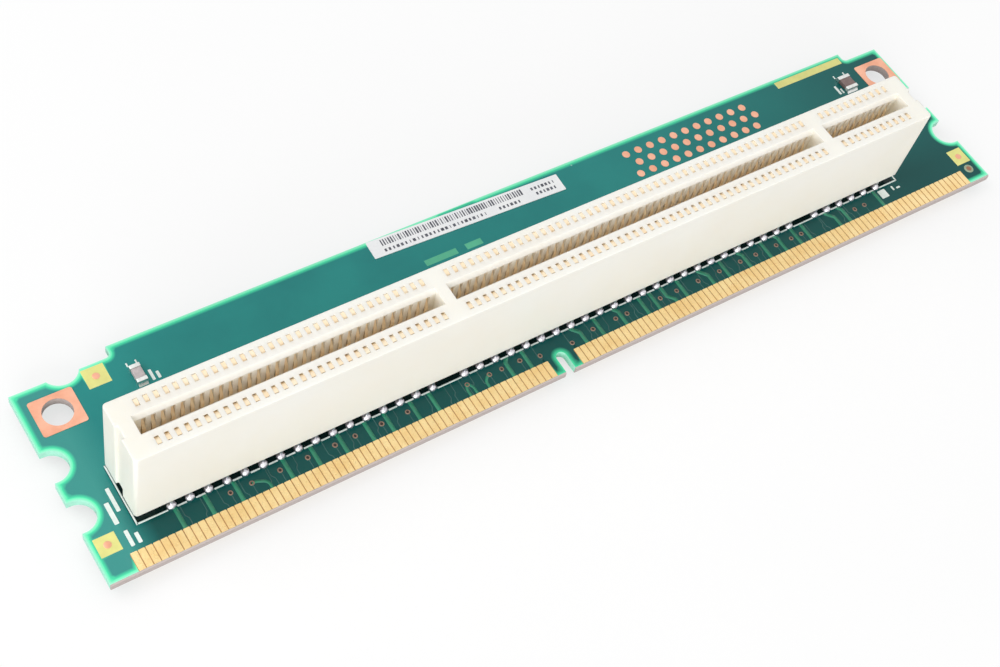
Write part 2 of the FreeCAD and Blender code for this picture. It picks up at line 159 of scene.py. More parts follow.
def standing(name, place, description):
    return FloatVectorProperty(name=name, description=description, default=place, subtype="XYZ",
                               unit="LENGTH")


def amount(name, number, description, unit="NONE"):
    return FloatProperty(name=name, description=description, default=number, min=0, unit=unit)


def whole(name, number, description):
    return IntProperty(name=name, description=description, default=number, min=1)


class BoardLooks(PropertyGroup):
    """Solder mask and laminate of the circuit board."""

    mask: paint("Solder mask", 38, 140, 135, "Solder mask over the copper planes")
    mask_shade: paint("Mask shade", 33, 130, 127, "Darker drifts in the solder mask")
    # Painted light: the mask past the socket's left end is paler because more light falls there.
    mask_end_light: paint("Mask end", 62, 149, 142, "Paler solder mask past the socket's left end")
    # Painted shade: the front strip is darker where the housing's shadow falls, and the mask turns towards
    # this tone to the right, where less light falls.
    strip: paint("Front strip", 8, 79, 77, "Solder mask of the front strip, over bare laminate")
    # Painted shadow: the mask under the socket is near black where the housing shades it.
    socket_shadow: paint("Under the socket", 6, 30, 30, "Solder mask under the socket, dark with flux")
    band: paint("Edge band", 80, 238, 178, "Mask near the edges, where the copper ends")
    band_edge: paint("Band edge", 166, 253, 216, "Mask along the very edge")
    clear: paint("Clear mask", 84, 190, 150, "Mask over bare laminate, where no copper lies under it")
    rim: paint("Cut edge", 178, 244, 220, "Cut edge of the laminate, tinted by the mask")
    laminate: paint("Bare laminate", 192, 180, 176, "Cut laminate of the gold edge and the holes")
    window: paint("Mask window", 236, 232, 142, "Laminate seen through openings in the mask")
    bed: paint("Finger bed", 196, 146, 88, "Laminate between the gold fingers")
    dust: paint("Dust", 170, 210, 202, "Specks of dust on the mask")
    band_width: measure("Band width", 0.95, "Width over which the pale band along the edges fades")


class CopperLooks(PropertyGroup):
    """Copper, traces and gold on the board."""

    gold: paint("Finger gold", 255, 230, 174, "Plating of the edge fingers")
    gold_shade: paint("Gold shade", 246, 211, 148, "Worn and darker drifts of the plating")
    copper: paint("Bare copper", 248, 190, 162, "Coated bare copper of lands and dots")
    copper_shade: paint("Copper shade", 236, 170, 140, "Darker drifts of the copper")
    trace: paint("Trace", 40, 140, 108, "Mask over a wide trace")
    fine_trace: paint("Fine trace", 52, 106, 102, "Mask over a fine trace")
    via: paint("Via ring", 152, 126, 108, "Ring of a via under the mask")
    # Painted shade: the dark middle of a via stands for the shade in its hole.
    via_hole_shade: paint("Via hole", 38, 24, 20, "Plugged hole of a via")
    pad: paint("Ring pad", 160, 176, 144, "Tinned ring of the test pad")
    pad_middle: paint("Pad middle", 156, 104, 74, "Copper in the middle of the test pad")
    finger_pitch: measure("Finger pitch", 1.0, "Distance between fingers")
    finger_width: measure("Finger width", 0.86, "Width of a finger")
    finger_height: measure("Finger height", 0.045, "Thickness of a finger")
    finger_corner: measure("Finger corner", 0.06, "Rounding of a finger's rear corners")
    trace_width: measure("Trace width", 0.6, "Width of a wide trace")
    fine_width: measure("Fine width", 0.12, "Width of a fine trace")
    trace_height: measure("Trace height", 0.05, "Height of a trace under the mask")
    via_radius: measure("Via radius", 0.37, "Outer radius of a via's ring")
    via_bore: measure("Via bore", 0.19, "Radius of a via's hole")
    via_height: measure("Via height", 0.045, "Height of a via's ring")
    pad_radius: measure("Pad radius", 0.8, "Outer radius of the ring pad")
    pad_bore: measure("Pad bore", 0.42, "Radius of the ring pad's middle")
    pad_height: measure("Pad height", 0.05, "Height of the ring pad")
    land_corner: measure("Land corner", 0.35, "Rounding of the lands' corners")
    dot_radius: measure("Dot radius", 0.5, "Radius of a fiducial dot")
    dot_height: measure("Dot height", 0.04, "Thickness of the copper dots")
    balance_radius: measure("Balance radius", 0.62, "Radius of a copper balance dot")
    balance_pitch: measure("Balance pitch", 2.3, "Distance between copper balance dots")
    balance_rows: whole("Balance rows", 3, "Rows of copper balance dots")
    balance_columns: whole("Balance columns", 11, "Copper balance dots in a row")


class SocketLooks(PropertyGroup):
    """The socket's plastic, contacts and solder joints."""

    plastic: paint("Plastic", 249, 247, 239, "Cream plastic of the housing")
    plastic_shade: paint("Plastic shade", 247, 243, 232, "Warmer drifts of the plastic")
    contact: paint("Contact", 254, 240, 212, "Gold-plated contact springs")
    contact_shade: paint("Contact shade", 251, 226, 188, "Darker drifts of the contacts")
    solder: paint("Solder", 242, 240, 244, "Solder joints")
    solder_shade: paint("Solder shade", 206, 202, 210, "Dull drifts of the solder")
    outer_round: measure("Outer rounding", 0.16, "Rounding of the housing's outer edges")
    contact_pitch: measure("Contact pitch", 1.27, "Distance between contacts")
    contact_width: measure("Contact width", 0.46, "Width of a contact spring")
    contact_thickness: measure("Contact thickness", 0.18, "Thickness of a contact spring")
    nose_drop: measure("Nose drop", 1.0, "From a spring's bend down to its nose")
    tip_setback: measure("Tip setback", 0.47, "From a spring's nose back to its bend")
    tip_reach: measure("Tip reach", 1.74, "From the foot of a spring out to its tip")
    tip_depth: measure("Tip depth", 0.16, "From the top of the housing down to a spring's tip")
    tip_width: measure("Tip width", 0.55, "Width of a spring's tip in its window")
    standoff: measure("Standoff", 1.55, "From the board up to the housing's underside")
    pin_radius: measure("Pin radius", 0.22, "Half the width of a contact's pin")
    joint_radius: measure("Joint radius", 0.66, "Radius of a solder joint on the board")
    joint_lean: measure("Joint lean", 0.25, "How far the outer joints bulge out over the board")


class ChipLooks(PropertyGroup):
    """The two chip capacitors."""

    left_body: paint("Left body", 208, 196, 196, "Ceramic of the left capacitor")
    right_body: paint("Right body", 136, 114, 110, "Ceramic of the right capacitor")
    tin: paint("Tin", 240, 242, 238, "Tinned ends")
    tin_shade: paint("Tin shade", 214, 216, 214, "Dull drifts of the tin")
    rounding: measure("Rounding", 0.07, "Rounding of the bodies' edges")
    fillet_reach: measure("Fillet reach", 0.35, "How far the solder runs out from an end")
    fillet_rise: measure("Fillet rise", 0.5, "How far the solder climbs up an end")


class PrintLooks(PropertyGroup):
    """White print on the board and the paper label."""

    ink: paint("Ink", 240, 248, 244, "White print")
    ink_shade: paint("Ink shade", 222, 234, 228, "Thin places in the print")
    paper: paint("Paper", 253, 253, 254, "Label paper")
    paper_shade: paint("Paper shade", 246, 247, 250, "Duller drifts of the paper")
    bars: paint("Bars", 60, 62, 74, "Dark print on the label")
    bars_shade: paint("Bars shade", 108, 110, 120, "Thin places in the dark print")
    ink_height: measure("Ink height", 0.06, "Thickness of the print")
    bars_height: measure("Bars height", 0.01, "Thickness of the dark print on the label")
    ink_width: measure("Ink width", 0.22, "Width of a printed line")
    dash_length: measure("Dash length", 1.3, "Length of a dash between two solder joints")
    outline_gap: measure("Outline gap", 4.48, "From the slot's middle to the printed outline")
    end_cover: measure("End cover", 0.2, "How far the housing's left end covers the printed outline")
    end_gap: measure("End gap", 0.5, "From the housing's right end to the printed outline")
    tick_gap: measure("Tick gap", 0.3, "From a capacitor to the printed ticks behind it")
    tick_length: measure("Tick length", 0.6, "Length of a printed tick")
    label_length: measure("Label length", 32.2, "Length of the label")
    label_width: measure("Label width", 3.0, "Width of the label")
    label_turn: FloatProperty(name="Label turn", description="How far the label is askew", subtype="ANGLE",
                              unit="ROTATION", default=math.radians(-2.0))
    corner: measure("Corner", 0.1, "Rounding of the label's and the printed blocks' corners")
    seed: whole("Seed", 11, "Draw of the label's bar widths")


class StageLooks(PropertyGroup):
    """Floor, light and camera."""

    floor: paint("Floor", 154, 154, 154, "Floor as the part's light meets it")
    floor_glow: amount("Floor glow", 0.66, "White that the floor shows to the eye")
    floor_size: amount("Floor size", 6.0, "Side of the floor", "LENGTH")
    sky: amount("Sky", 0.69, "Strength of the even light all round")
    key_power: amount("Key", 2.6, "Power of the lamp behind at the left", "POWER")
    key_size: amount("Key size", 0.7, "Side of the key lamp", "LENGTH")
    key_place: standing("Key place", (-0.5, 0.35, 0.75), "Where the key lamp stands")
    fill_power: amount("Fill", 13.0, "Power of the low lamp in front", "POWER")
    fill_size: amount("Fill size", 0.9, "Side of the fill lamp", "LENGTH")
    fill_place: standing("Fill place", (-0.8, -1.05, 0.35), "Where the fill lamp stands")
    bounces: whole("Bounces", 24, "How often light goes on between the pale walls")
    camera_place: standing("Camera place", (-0.10777, -0.09132, 0.18419), "Where the camera stands")
    camera_turn: FloatVectorProperty(name="Camera turn", description="How the camera is turned",
                                     subtype="EULER", unit="ROTATION",
                                     default=[math.radians(angle) for angle in (33.782, -10.399, -32.928)])
    camera_lens: amount("Lens", 58.015, "Focal length on a 36 mm sensor", "CAMERA")


# Node helpers, for shader and geometry trees alike


def add_node(tree, kind, inputs=None, **settings):
    """Adds a node. An input is a value, or a socket to link from, keyed by its name or number."""
    node = tree.nodes.new(kind)
    for name, setting in settings.items():
        setattr(node, name, setting)
    for key, given in (inputs or {}).items():
        if isinstance(given, bpy.types.NodeSocket):
            tree.links.new(given, node.inputs[key])
        else:
            node.inputs[key].default_value = given
    return node


def new_material(name):
    material = bpy.data.materials.new(name)
    material.use_nodes = True
    tree = material.node_tree
    return material, tree, tree.nodes["Principled BSDF"]


def object_place(tree):
    return add_node(tree, "ShaderNodeTexCoord").outputs["Object"]


def noise(tree, place, scale, detail=3.0):
    node = add_node(tree, "ShaderNodeTexNoise", {"Vector": place, "Scale": scale, "Detail": detail})
    return node.outputs["Fac"]


def remap(tree, source, low, high, new_low=0.0, new_high=1.0):
    node = add_node(tree, "ShaderNodeMapRange", {"Value": source, "From Min": low, "From Max": high,
                                                 "To Min": new_low, "To Max": new_high})
    return node.outputs["Result"]


def mix(tree, share, first, second):
    """Mixes two colours."""
    node = add_node(tree, "ShaderNodeMix", {0: share, 6: first, 7: second}, data_type="RGBA")
    return node.outputs[2]


def mix_levels(tree, share, first, second):
    """Mixes two plain numbers."""
    return add_node(tree, "ShaderNodeMix", {0: share, 2: first, 3: second}, data_type="FLOAT").outputs[0]


def math_node(tree, operation, first, second=0.0):
    return add_node(tree, "ShaderNodeMath", {0: first, 1: second}, operation=operation).outputs[0]


def bump(tree, height, distance):
    return add_node(tree, "ShaderNodeBump", {"Height": height, "Distance": distance}).outputs["Normal"]


def darker(tone, share):
    return [level * share for level in tone]


def drifting(name, first, second, drift, gloss, grain=0.0, metallic=0.0, grain_scale=4000.0, **sockets):
    """A finish that drifts between two tones over patches, with grain in its gloss and its relief.

    drift is the patch size and gloss the least and most roughness, grain the height of the relief.
    """
    material, tree, surface = new_material(name)
    place = object_place(tree)
    patches = noise(tree, place, 1 / drift)
    tree.links.new(mix(tree, remap(tree, patches, 0.3, 0.7), first, second), surface.inputs["Base Color"])
    fine = noise(tree, place, grain_scale, 2.0)
    tree.links.new(remap(tree, fine, 0.3, 0.7, *gloss), surface.inputs["Roughness"])
    if grain:
        tree.links.new(bump(tree, fine, grain), surface.inputs["Normal"])
    surface.inputs["Metallic"].default_value = metallic
    for socket, setting in sockets.items():
        surface.inputs[socket.replace("_", " ")].default_value = setting
    return material


# Materials with a pattern of their own


def socket_shadow_share(tree, axes):
    """1 on the board's upper face under the socket, fading out at its outline; there the mask gets a painted
    shadow.
    """
    soft = 0.1 * MM
    share = remap(tree, axes["Z"], UNDERSIDE, TOP)
    for axis in ("X", "Y"):
        low, high = (getattr(corner, axis.lower()) for corner in (HOUSING_LOW, HOUSING_HIGH))
        for edge, inwards in ((low, soft), (high, -soft)):
            within = remap(tree, axes[axis], edge - inwards, edge + inwards)
            share = math_node(tree, "MULTIPLY", share, within)
    return share


def mask_material(looks):
    """Green solder mask: cloudy and pale along the edges, with painted shade in the front strip, to the right
    and under the socket, and painted light past the socket's left end.
    """
    material, tree, surface = new_material("solder_mask")
    place = object_place(tree)
    clouds = remap(tree, noise(tree, place, 90.0, 4.0), 0.35, 0.65)
    body = mix(tree, clouds, looks.mask, looks.mask_shade)
    axes = add_node(tree, "ShaderNodeSeparateXYZ", {0: place}).outputs
    # Painted shade: the housing's shadow darkens the front strip.
    strip_shade_share = remap(tree, axes["Y"], HOUSING_HIGH.y, HOUSING_LOW.y)
    past_end = remap(tree, axes["X"], HOUSING_LOW.x - 2 * MM, HOUSING_LOW.x + 2 * MM)
    # Painted light: paler mask past the socket's left end.
    body = mix(tree, past_end, looks.mask_end_light, body)
    toned = mix(tree, math_node(tree, "MULTIPLY", strip_shade_share, past_end), body, looks.strip)
    # Painted shade: darker towards the right, where less light falls.
    right_falloff = remap(tree, axes["X"], 0.35 * BOARD_HIGH.x, BOARD_HIGH.x, 0.0, 0.9)
    toned = mix(tree, right_falloff, toned, looks.strip)
    # Painted shadow under the socket.
    toned = mix(tree, socket_shadow_share(tree, axes), toned, looks.socket_shadow)
    band = add_node(tree, "ShaderNodeAttribute", attribute_name="edge_band").outputs["Fac"]
    banded = mix(tree, remap(tree, band, 0.1, 0.65), toned, looks.band)
    edged = mix(tree, remap(tree, band, 0.55, 1.0), banded, looks.band_edge)
    cells = add_node(tree, "ShaderNodeTexVoronoi", {"Vector": place, "Scale": 220.0, "Randomness": 1.0})
    near_middle = remap(tree, cells.outputs["Distance"], 0.05, 0.025)
    picked = add_node(tree, "ShaderNodeSeparateColor", {0: cells.outputs["Color"]}).outputs[0]
    specks = math_node(tree, "MULTIPLY", near_middle, math_node(tree, "GREATER_THAN", picked, 0.9))
    tree.links.new(mix(tree, specks, edged, looks.dust), surface.inputs["Base Color"])
    smears = noise(tree, place, 160.0, 3.0)
    tree.links.new(remap(tree, smears, 0.3, 0.7, 0.05, 0.14), surface.inputs["Roughness"])
    tree.links.new(bump(tree, noise(tree, place, 1200.0, 2.0), 0.003 * MM), surface.inputs["Normal"])
    surface.inputs["Specular IOR Level"].default_value = 0.22
    return material


def laminate_material(name, tone):
    """Cut laminate: layers of glass cloth with darker fibres."""
    material, tree, surface = new_material(name)
    place = object_place(tree)
    height = add_node(tree, "ShaderNodeSeparateXYZ", {0: place}).outputs["Z"]
    layers = math_node(tree, "SINE", math_node(tree, "MULTIPLY", height, math.tau / (0.2 * MM)))
    fibres = noise(tree, place, 3500.0, 3.0)
    weave = math_node(tree, "MULTIPLY", remap(tree, layers, -0.4, 1.0), remap(tree, fibres, 0.3, 0.7))
    tree.links.new(mix(tree, weave, tone, darker(tone, 0.78)), surface.inputs["Base Color"])
    tree.links.new(remap(tree, fibres, 0.3, 0.7, 0.5, 0.75), surface.inputs["Roughness"])
    tree.links.new(bump(tree, weave, 0.01 * MM), surface.inputs["Normal"])
    return material


def via_material(name, ring, hole):
    """A ring round a darker middle, which an attribute marks."""
    material, tree, surface = new_material(name)
    middle = add_node(tree, "ShaderNodeAttribute", attribute_name="hole").outputs["Fac"]
    tarnish = remap(tree, noise(tree, object_place(tree), 2500.0), 0.3, 0.7)
    tone = mix(tree, tarnish, ring, darker(ring, 0.75))
    tree.links.new(mix(tree, middle, tone, hole), surface.inputs["Base Color"])
    tree.links.new(remap(tree, tarnish, 0.0, 1.0, 0.2, 0.35), surface.inputs["Roughness"])
    return material


def seen_directly(tree):
    """1 for the rays that show a surface to the eye, also by way of metal or glass."""
    path = add_node(tree, "ShaderNodeLightPath").outputs
    mirrored = math_node(tree, "MAXIMUM", path["Is Glossy Ray"], path["Is Transmission Ray"])
    return math_node(tree, "MAXIMUM", path["Is Camera Ray"], mirrored)


def floor_material(looks):
    """Pale floor: white to the eye where it is lit, and darker where the part shades it."""
    material, tree, surface = new_material("floor")
    place = object_place(tree)
    tone = mix(tree, noise(tree, place, 40.0), looks.floor, darker(looks.floor, 0.97))
    tree.links.new(tone, surface.inputs["Base Color"])
    surface.inputs["Roughness"].default_value = 0.9
    surface.inputs["Specular IOR Level"].default_value = 0.0
    surface.inputs["Emission Color"].default_value = (1, 1, 1, 1)
    glow = math_node(tree, "MULTIPLY", seen_directly(tree), looks.floor_glow)
    tree.links.new(glow, surface.inputs["Emission Strength"])
    return material


# Mesh helpers


def new_object(name, data):
    item = bpy.data.objects.new(name, data)
    bpy.context.scene.collection.objects.link(item)
    return item


def to_object(name, mesh, *materials):
    """Turns a bmesh into an object with those materials."""
    data = bpy.data.meshes.new(name)
    mesh.to_mesh(data)
    mesh.free()
    for material in materials:
        data.materials.append(material)
    return new_object(name, data)


def settle(item, slot, *nodes):
    """A finished piece: it rides on the card and stands for those nodes, which it hides. The slot is not
    used.
    """
    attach(item, "root")
    if nodes:
        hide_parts(*nodes)


def soften(item, angle=35.0):
    """Smooth shading that keeps the edges sharper than an angle."""
    item.data.shade_smooth()
    item.data.set_sharp_from_angle(angle=math.radians(angle))
    return item


def merged_copy(node):
    mesh = bmesh.new()
    mesh.from_mesh(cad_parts[node].data)
    bmesh.ops.remove_doubles(mesh, verts=mesh.verts, dist=MERGE)
    return mesh


def join(meshes):
    """One bmesh out of several."""
    whole = meshes[0]
    for mesh in meshes[1:]:
        data = bpy.data.meshes.new("joined")
        mesh.to_mesh(data)
        mesh.free()
        whole.from_mesh(data)
        bpy.data.meshes.remove(data)
    return whole


def rounded_box(low, high, radii, steps=4):
    """Outline of a box with round corners, from the low corner round to the left; radii are in that order."""
    corners = ((low[0], low[1], 1, 1, 180), (high[0], low[1], -1, 1, 270),
               (high[0], high[1], -1, -1, 0), (low[0], high[1], 1, -1, 90))
    outline = []
    for (x, y, to_x, to_y, start), radius in zip(corners, radii):
        turns = steps if radius else 0
        for step in range(turns + 1):
            angle = math.radians(start + 90 * step / max(turns, 1))
            centre = Vector((x + to_x * radius, y + to_y * radius))
            outline.append(centre + radius * Vector((math.cos(angle), math.sin(angle))))
    return outline


def square_box(low, high):
    return rounded_box(low, high, (0, 0, 0, 0))


def circle(x, y, radius, steps):
    angles = [math.tau * step / steps for step in range(steps)]
    return [Vector((x + radius * math.cos(angle), y + radius * math.sin(angle))) for angle in angles]


def prism(outline, low, high, hole=None):
    """A flat plate between two levels, with a hole of any outline."""
    mesh = bmesh.new()
    loops = [outline] + ([hole] if hole else [])
    rings = {}
    for level in (low, high):
        rings[level] = [[mesh.verts.new((point.x, point.y, level)) for point in loop] for loop in loops]
    for under, over in zip(rings[low], rings[high]):
        for index in range(len(under)):
            mesh.faces.new((under[index - 1], under[index], over[index], over[index - 1]))
    for level in (low, high):
        if hole:
            pairs = [pair for ring in rings[level] for pair in zip(ring[-1:] + ring[:-1], ring)]
            bmesh.ops.triangle_fill(mesh, use_beauty=True, edges=[mesh.edges.get(pair) for pair in pairs])
        else:
            mesh.faces.new(rings[level][0])
    bmesh.ops.recalc_face_normals(mesh, faces=mesh.faces)
    return mesh


def block(low, high, rounding, segments=2):
    """A box with rounded edges."""
    mesh = prism(square_box(low, high), low[2], high[2])
    bmesh.ops.bevel(mesh, geom=mesh.edges, offset=rounding, segments=segments, profile=0.5, affect="EDGES",
                    clamp_overlap=True)
    return mesh


def lathe(profile, steps):
    """Turns a profile of (radius, height) points, from bottom to top, about the Z axis."""
    mesh = bmesh.new()
    rings = []
    for radius, height in profile:
        if radius:
            rings.append([mesh.verts.new((*point, height)) for point in circle(0, 0, radius, steps)])
        else:
            rings.append([mesh.verts.new((0, 0, height))] * steps)
    for under, over in zip(rings, rings[1:]):
        for index in range(steps):
            corners = (under[index - 1], under[index], over[index], over[index - 1])
            mesh.faces.new(list(dict.fromkeys(corners)))
    for ring in (rings[0], rings[-1]):
        if ring[0] is not ring[1]:
            mesh.faces.new(ring)
    bmesh.ops.recalc_face_normals(mesh, faces=mesh.faces)
    return mesh


def smooth_line(corners, steps):
    """Points on a smooth line through the corners."""
    padded = [2 * corners[0] - corners[1], *corners, 2 * corners[-1] - corners[-2]]
    line = []
    for a, b, c, d in zip(padded, padded[1:], padded[2:], padded[3:]):
        for step in range(steps):
            t = step / steps
            line.append(0.5 * (2 * b + (c - a) * t + (2 * a - 5 * b + 4 * c - d) * t * t
                               + (3 * b - a - 3 * c + d) * t ** 3))
    return line + [corners[-1]]


def contact_x(position, looks):
    """X of a contact position, counted from the left end of the slot."""
    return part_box("front_contacts_left")[0].x + looks.contact_width / 2 + position * looks.contact_pitch


# Geometry nodes


def new_tree(name, sockets):
    """An empty geometry tree with named inputs; returns it and its inputs' sockets."""
    tree = bpy.data.node_groups.new(name, "GeometryNodeTree")
    tree.interface.new_socket("Geometry", in_out="INPUT", socket_type="NodeSocketGeometry")
    for label, kind in sockets:
        tree.interface.new_socket(label, in_out="INPUT", socket_type="NodeSocket" + kind)
    tree.interface.new_socket("Geometry", in_out="OUTPUT", socket_type="NodeSocketGeometry")
    return tree, tree.nodes.new("NodeGroupInput").outputs


def end_tree(tree, geometry, material):
    whole = add_node(tree, "GeometryNodeRealizeInstances", {"Geometry": geometry}).outputs["Geometry"]
    coated = add_node(tree, "GeometryNodeSetMaterial", {"Geometry": whole, "Material": material})
    add_node(tree, "NodeGroupOutput", {"Geometry": coated.outputs["Geometry"]})


COPY_SOCKETS = (("Template", "Object"), ("Turn", "Float"), ("Least Scale", "Vector"),
                ("Most Scale", "Vector"), ("Seed", "Int"), ("Material", "Material"))


def place_copies(tree, inputs, points):
    """Copies of the template on points, each of a size drawn between two."""
    template = add_node(tree, "GeometryNodeObjectInfo", {"Object": inputs["Template"]})
    sizes = add_node(tree, "FunctionNodeRandomValue", {0: inputs["Least Scale"], 1: inputs["Most Scale"],
                                                       "Seed": inputs["Seed"]}, data_type="FLOAT_VECTOR")
    turn = add_node(tree, "ShaderNodeCombineXYZ", {"Z": inputs["Turn"]})
    placed = add_node(tree, "GeometryNodeInstanceOnPoints",
                      {"Points": points, "Instance": template.outputs["Geometry"],
                       "Rotation": turn.outputs["Vector"], "Scale": sizes.outputs[0]})
    end_tree(tree, placed.outputs["Instances"], inputs["Material"])


def row_tree():
    """Copies of a template in one straight row."""
    tree, inputs = new_tree("row", (("Count", "Int"), ("Start", "Vector"), ("Step", "Vector"), *COPY_SOCKETS))
    line = add_node(tree, "GeometryNodeMeshLine",
                    {"Count": inputs["Count"], "Start Location": inputs["Start"], "Offset": inputs["Step"]})
    place_copies(tree, inputs, line.outputs["Mesh"])
    return tree


def points_tree():
    """Copies of a template on the points of the object itself."""
    tree, inputs = new_tree("points", COPY_SOCKETS)
    place_copies(tree, inputs, inputs["Geometry"])
    return tree


def path_tree():
    """Flat traces along the edges of the object itself."""
    tree, inputs = new_tree("path", (("Width", "Float"), ("Height", "Float"), ("Bend", "Float"),
                                     ("Material", "Material")))
    lines = add_node(tree, "GeometryNodeMeshToCurve", {"Mesh": inputs["Geometry"]}).outputs["Curve"]
    bent = add_node(tree, "GeometryNodeFilletCurve", {"Curve": lines, "Radius": inputs["Bend"], "Count": 4,
                                                      "Limit Radius": True}, mode="POLY").outputs["Curve"]
    level = add_node(tree, "GeometryNodeSetCurveNormal", {"Curve": bent}, mode="Z_UP").outputs["Curve"]
    section = add_node(tree, "GeometryNodeCurvePrimitiveQuadrilateral",
                       {"Width": inputs["Width"], "Height": inputs["Height"]}).outputs["Curve"]
    strips = add_node(tree, "GeometryNodeCurveToMesh",
                      {"Curve": level, "Profile Curve": section, "Fill Caps": True})
    end_tree(tree, strips.outputs["Mesh"], inputs["Material"])
    return tree


TREES = {"row": row_tree, "points": points_tree, "path": path_tree}


def grow(name, kind, data=None, **given):
    """Runs a tree on a new object and keeps what it makes as a plain mesh."""
    tree = bpy.data.node_groups.get(kind) or TREES[kind]()
    item = new_object(name, data or bpy.data.meshes.new(name))
    modifier = item.modifiers.new(kind, "NODES")
    modifier.node_group = tree
    sockets = {socket.name: socket.identifier for socket in tree.interface.items_tree
               if socket.in_out == "INPUT"}
    for label, setting in given.items():
        modifier[sockets[label.replace("_", " ")]] = setting
    result = bpy.data.meshes.new_from_object(item.evaluated_get(bpy.context.evaluated_depsgraph_get()))
    item.modifiers.remove(modifier)
    item.data = result
    result.name = name
    return item


ONE = (1.0, 1.0, 1.0)


def copies(name, template, material, smooth=35.0, **given):
    """Copies of a bmesh template, in a row or on points, smooth where it turns by less than an angle."""
    model = soften(to_object(name + "_template", template), smooth)
    settings = {"Turn": 0.0, "Least_Scale": ONE, "Most_Scale": ONE, "Seed": 1, **given}
    kind = "row" if "Count" in given else "points"
    item = grow(name, kind, Template=model, Material=material, **settings)
    bpy.data.objects.remove(model)
    return item


def point_cloud(points):
    data = bpy.data.meshes.new("points")
    data.from_pydata([tuple(point) for point in points], [], [])
    return data


def line_set(lines, level):
    """Lines of (x, y) points as the edges of one mesh."""
    places, edges = [], []
    for line in lines:
        edges += [(len(places) + step, len(places) + step + 1) for step in range(len(line) - 1)]
        places += [(x, y, level) for x, y in line]
    data = bpy.data.meshes.new("lines")
    data.from_pydata(places, edges, [])
    return data


# Circuit board


def face_outlines(mesh, level):
    """Closed outlines of the board's flat face at one level, the board on their left."""
    flat = {face for face in mesh.faces if all(abs(vert.co.z - level) < MERGE for vert in face.verts)}
    following = {}
    for face in flat:
        for loop in face.loops:
            if sum(other in flat for other in loop.edge.link_faces) == 1:
                following[loop.vert] = loop.link_loop_next.vert
    outlines = []
    while following:
        start, here = following.popitem()
        outline = [start]
        while here is not start:
            outline.append(here)
            here = following.pop(here)
        outlines.append([vert.co.xy for vert in outline])
    bmesh.ops.delete(mesh, geom=list(flat), context="FACES_ONLY")
    return sorted(outlines, key=len, reverse=True)


def clearance(point, outline):
    """Distance from a point to an outline."""
    nearest = math.inf
    for start, end in zip(outline, outline[1:] + outline[:1]):
        foot, share = intersect_point_line(point, start, end)
        foot = start if share < 0 else end if share > 1 else foot
        nearest = min(nearest, (foot.xy - point).length)
    return nearest


def band_points(outline, distance, spacing):
    """Points along the inside of an outline, all at one distance from it."""
    points = []
    for start, end in zip(outline, outline[1:] + outline[:1]):
        run = end - start
        inwards = Vector((-run.y, run.x)).normalized()
        count = max(round(run.length / spacing), 1)
        points += [start + run * (step + 0.5) / count + inwards * distance for step in range(count)]
    return [point for point in points if clearance(point, outline) > 0.97 * distance]


def inside(point, outlines):
    """True where a point is inside an odd number of outlines."""
    crossings = 0
    for outline in outlines:
        for start, end in zip(outline, outline[1:] + outline[:1]):
            if (start.y > point.y) != (end.y > point.y):
                crossing = start.x + (point.y - start.y) / (end.y - start.y) * (end.x - start.x)
                crossings += crossing > point.x
    return crossings % 2 == 1


def in_metres(window):
    return [tuple(size * MM for size in corner) for corner in window]


def finger_beds():
    """The strips of bare laminate that the fingers lie on."""
    spare, lip = 0.1 * MM, 0.02 * MM
    return [((low.x - spare, FINGER_FRONT + lip), (high.x + spare, FINGER_REAR - spare))
            for low, high in (FINGERS_LEFT, FINGERS_RIGHT)]


def land_bore(side):
    """Middle and radius of the hole in a mounting land."""
    node = f"mounting_land_{side}"
    low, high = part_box(node)
    middle = (low + high) / 2
    return middle, min((vert.co.xy - middle.xy).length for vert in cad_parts[node].data.vertices)


def board_sheet(outlines, boxes, width):
    """Points and triangles over the board's face between its outlines, finer along the edge."""
    outer = outlines[0]
    points, edges = [], []
    for loop in [*outlines, *(square_box(*box) for box in boxes)]:
        edges += [(len(points) + step, len(points) + (step + 1) % len(loop)) for step in range(len(loop))]
        points += loop
    spacing = 0.7 * MM
    for share in (0.12, 0.3, 0.55, 0.8, 1.0):
        points += band_points(outer, share * width, spacing)
    places, _, triangles, *_ = delaunay_2d_cdt(points, edges, [], 0, 0.1 * MERGE)
    middles = [sum((places[corner] for corner in triangle), Vector((0, 0))) / 3 for triangle in triangles]
    kept = [(triangle, middle) for triangle, middle in zip(triangles, middles) if inside(middle, outlines)]
    return places, kept


def cover_face(mesh, sheet, zones, level):
    """Covers the board at one level with the sheet's triangles, in the materials of the zones they lie in."""
    places, triangles = sheet
    verts = [mesh.verts.new((place.x, place.y, level)) for place in places]
    for triangle, middle in triangles:
        order = triangle if level == TOP else triangle[::-1]
        face = mesh.faces.new([verts[corner] for corner in order])
        found = [index for (low, high), index in zones
                 if low[0] < middle.x < high[0] and low[1] < middle.y < high[1]]
        face.material_index = found[0] if found else 0


def mark_band(mesh, outline, width):
    """Gives each point its share in the pale band: 1 on the board's edge, and less round the key notch."""
    band = mesh.verts.layers.float.new("edge_band")
    key_reach = 3 * MM
    for vert in mesh.verts:
        strength = 0.6 if abs(vert.co.x - KEY_LINE) < key_reach else 1.0
        vert[band] = strength * max(1 - clearance(vert.co.xy, outline) / width, 0.0)


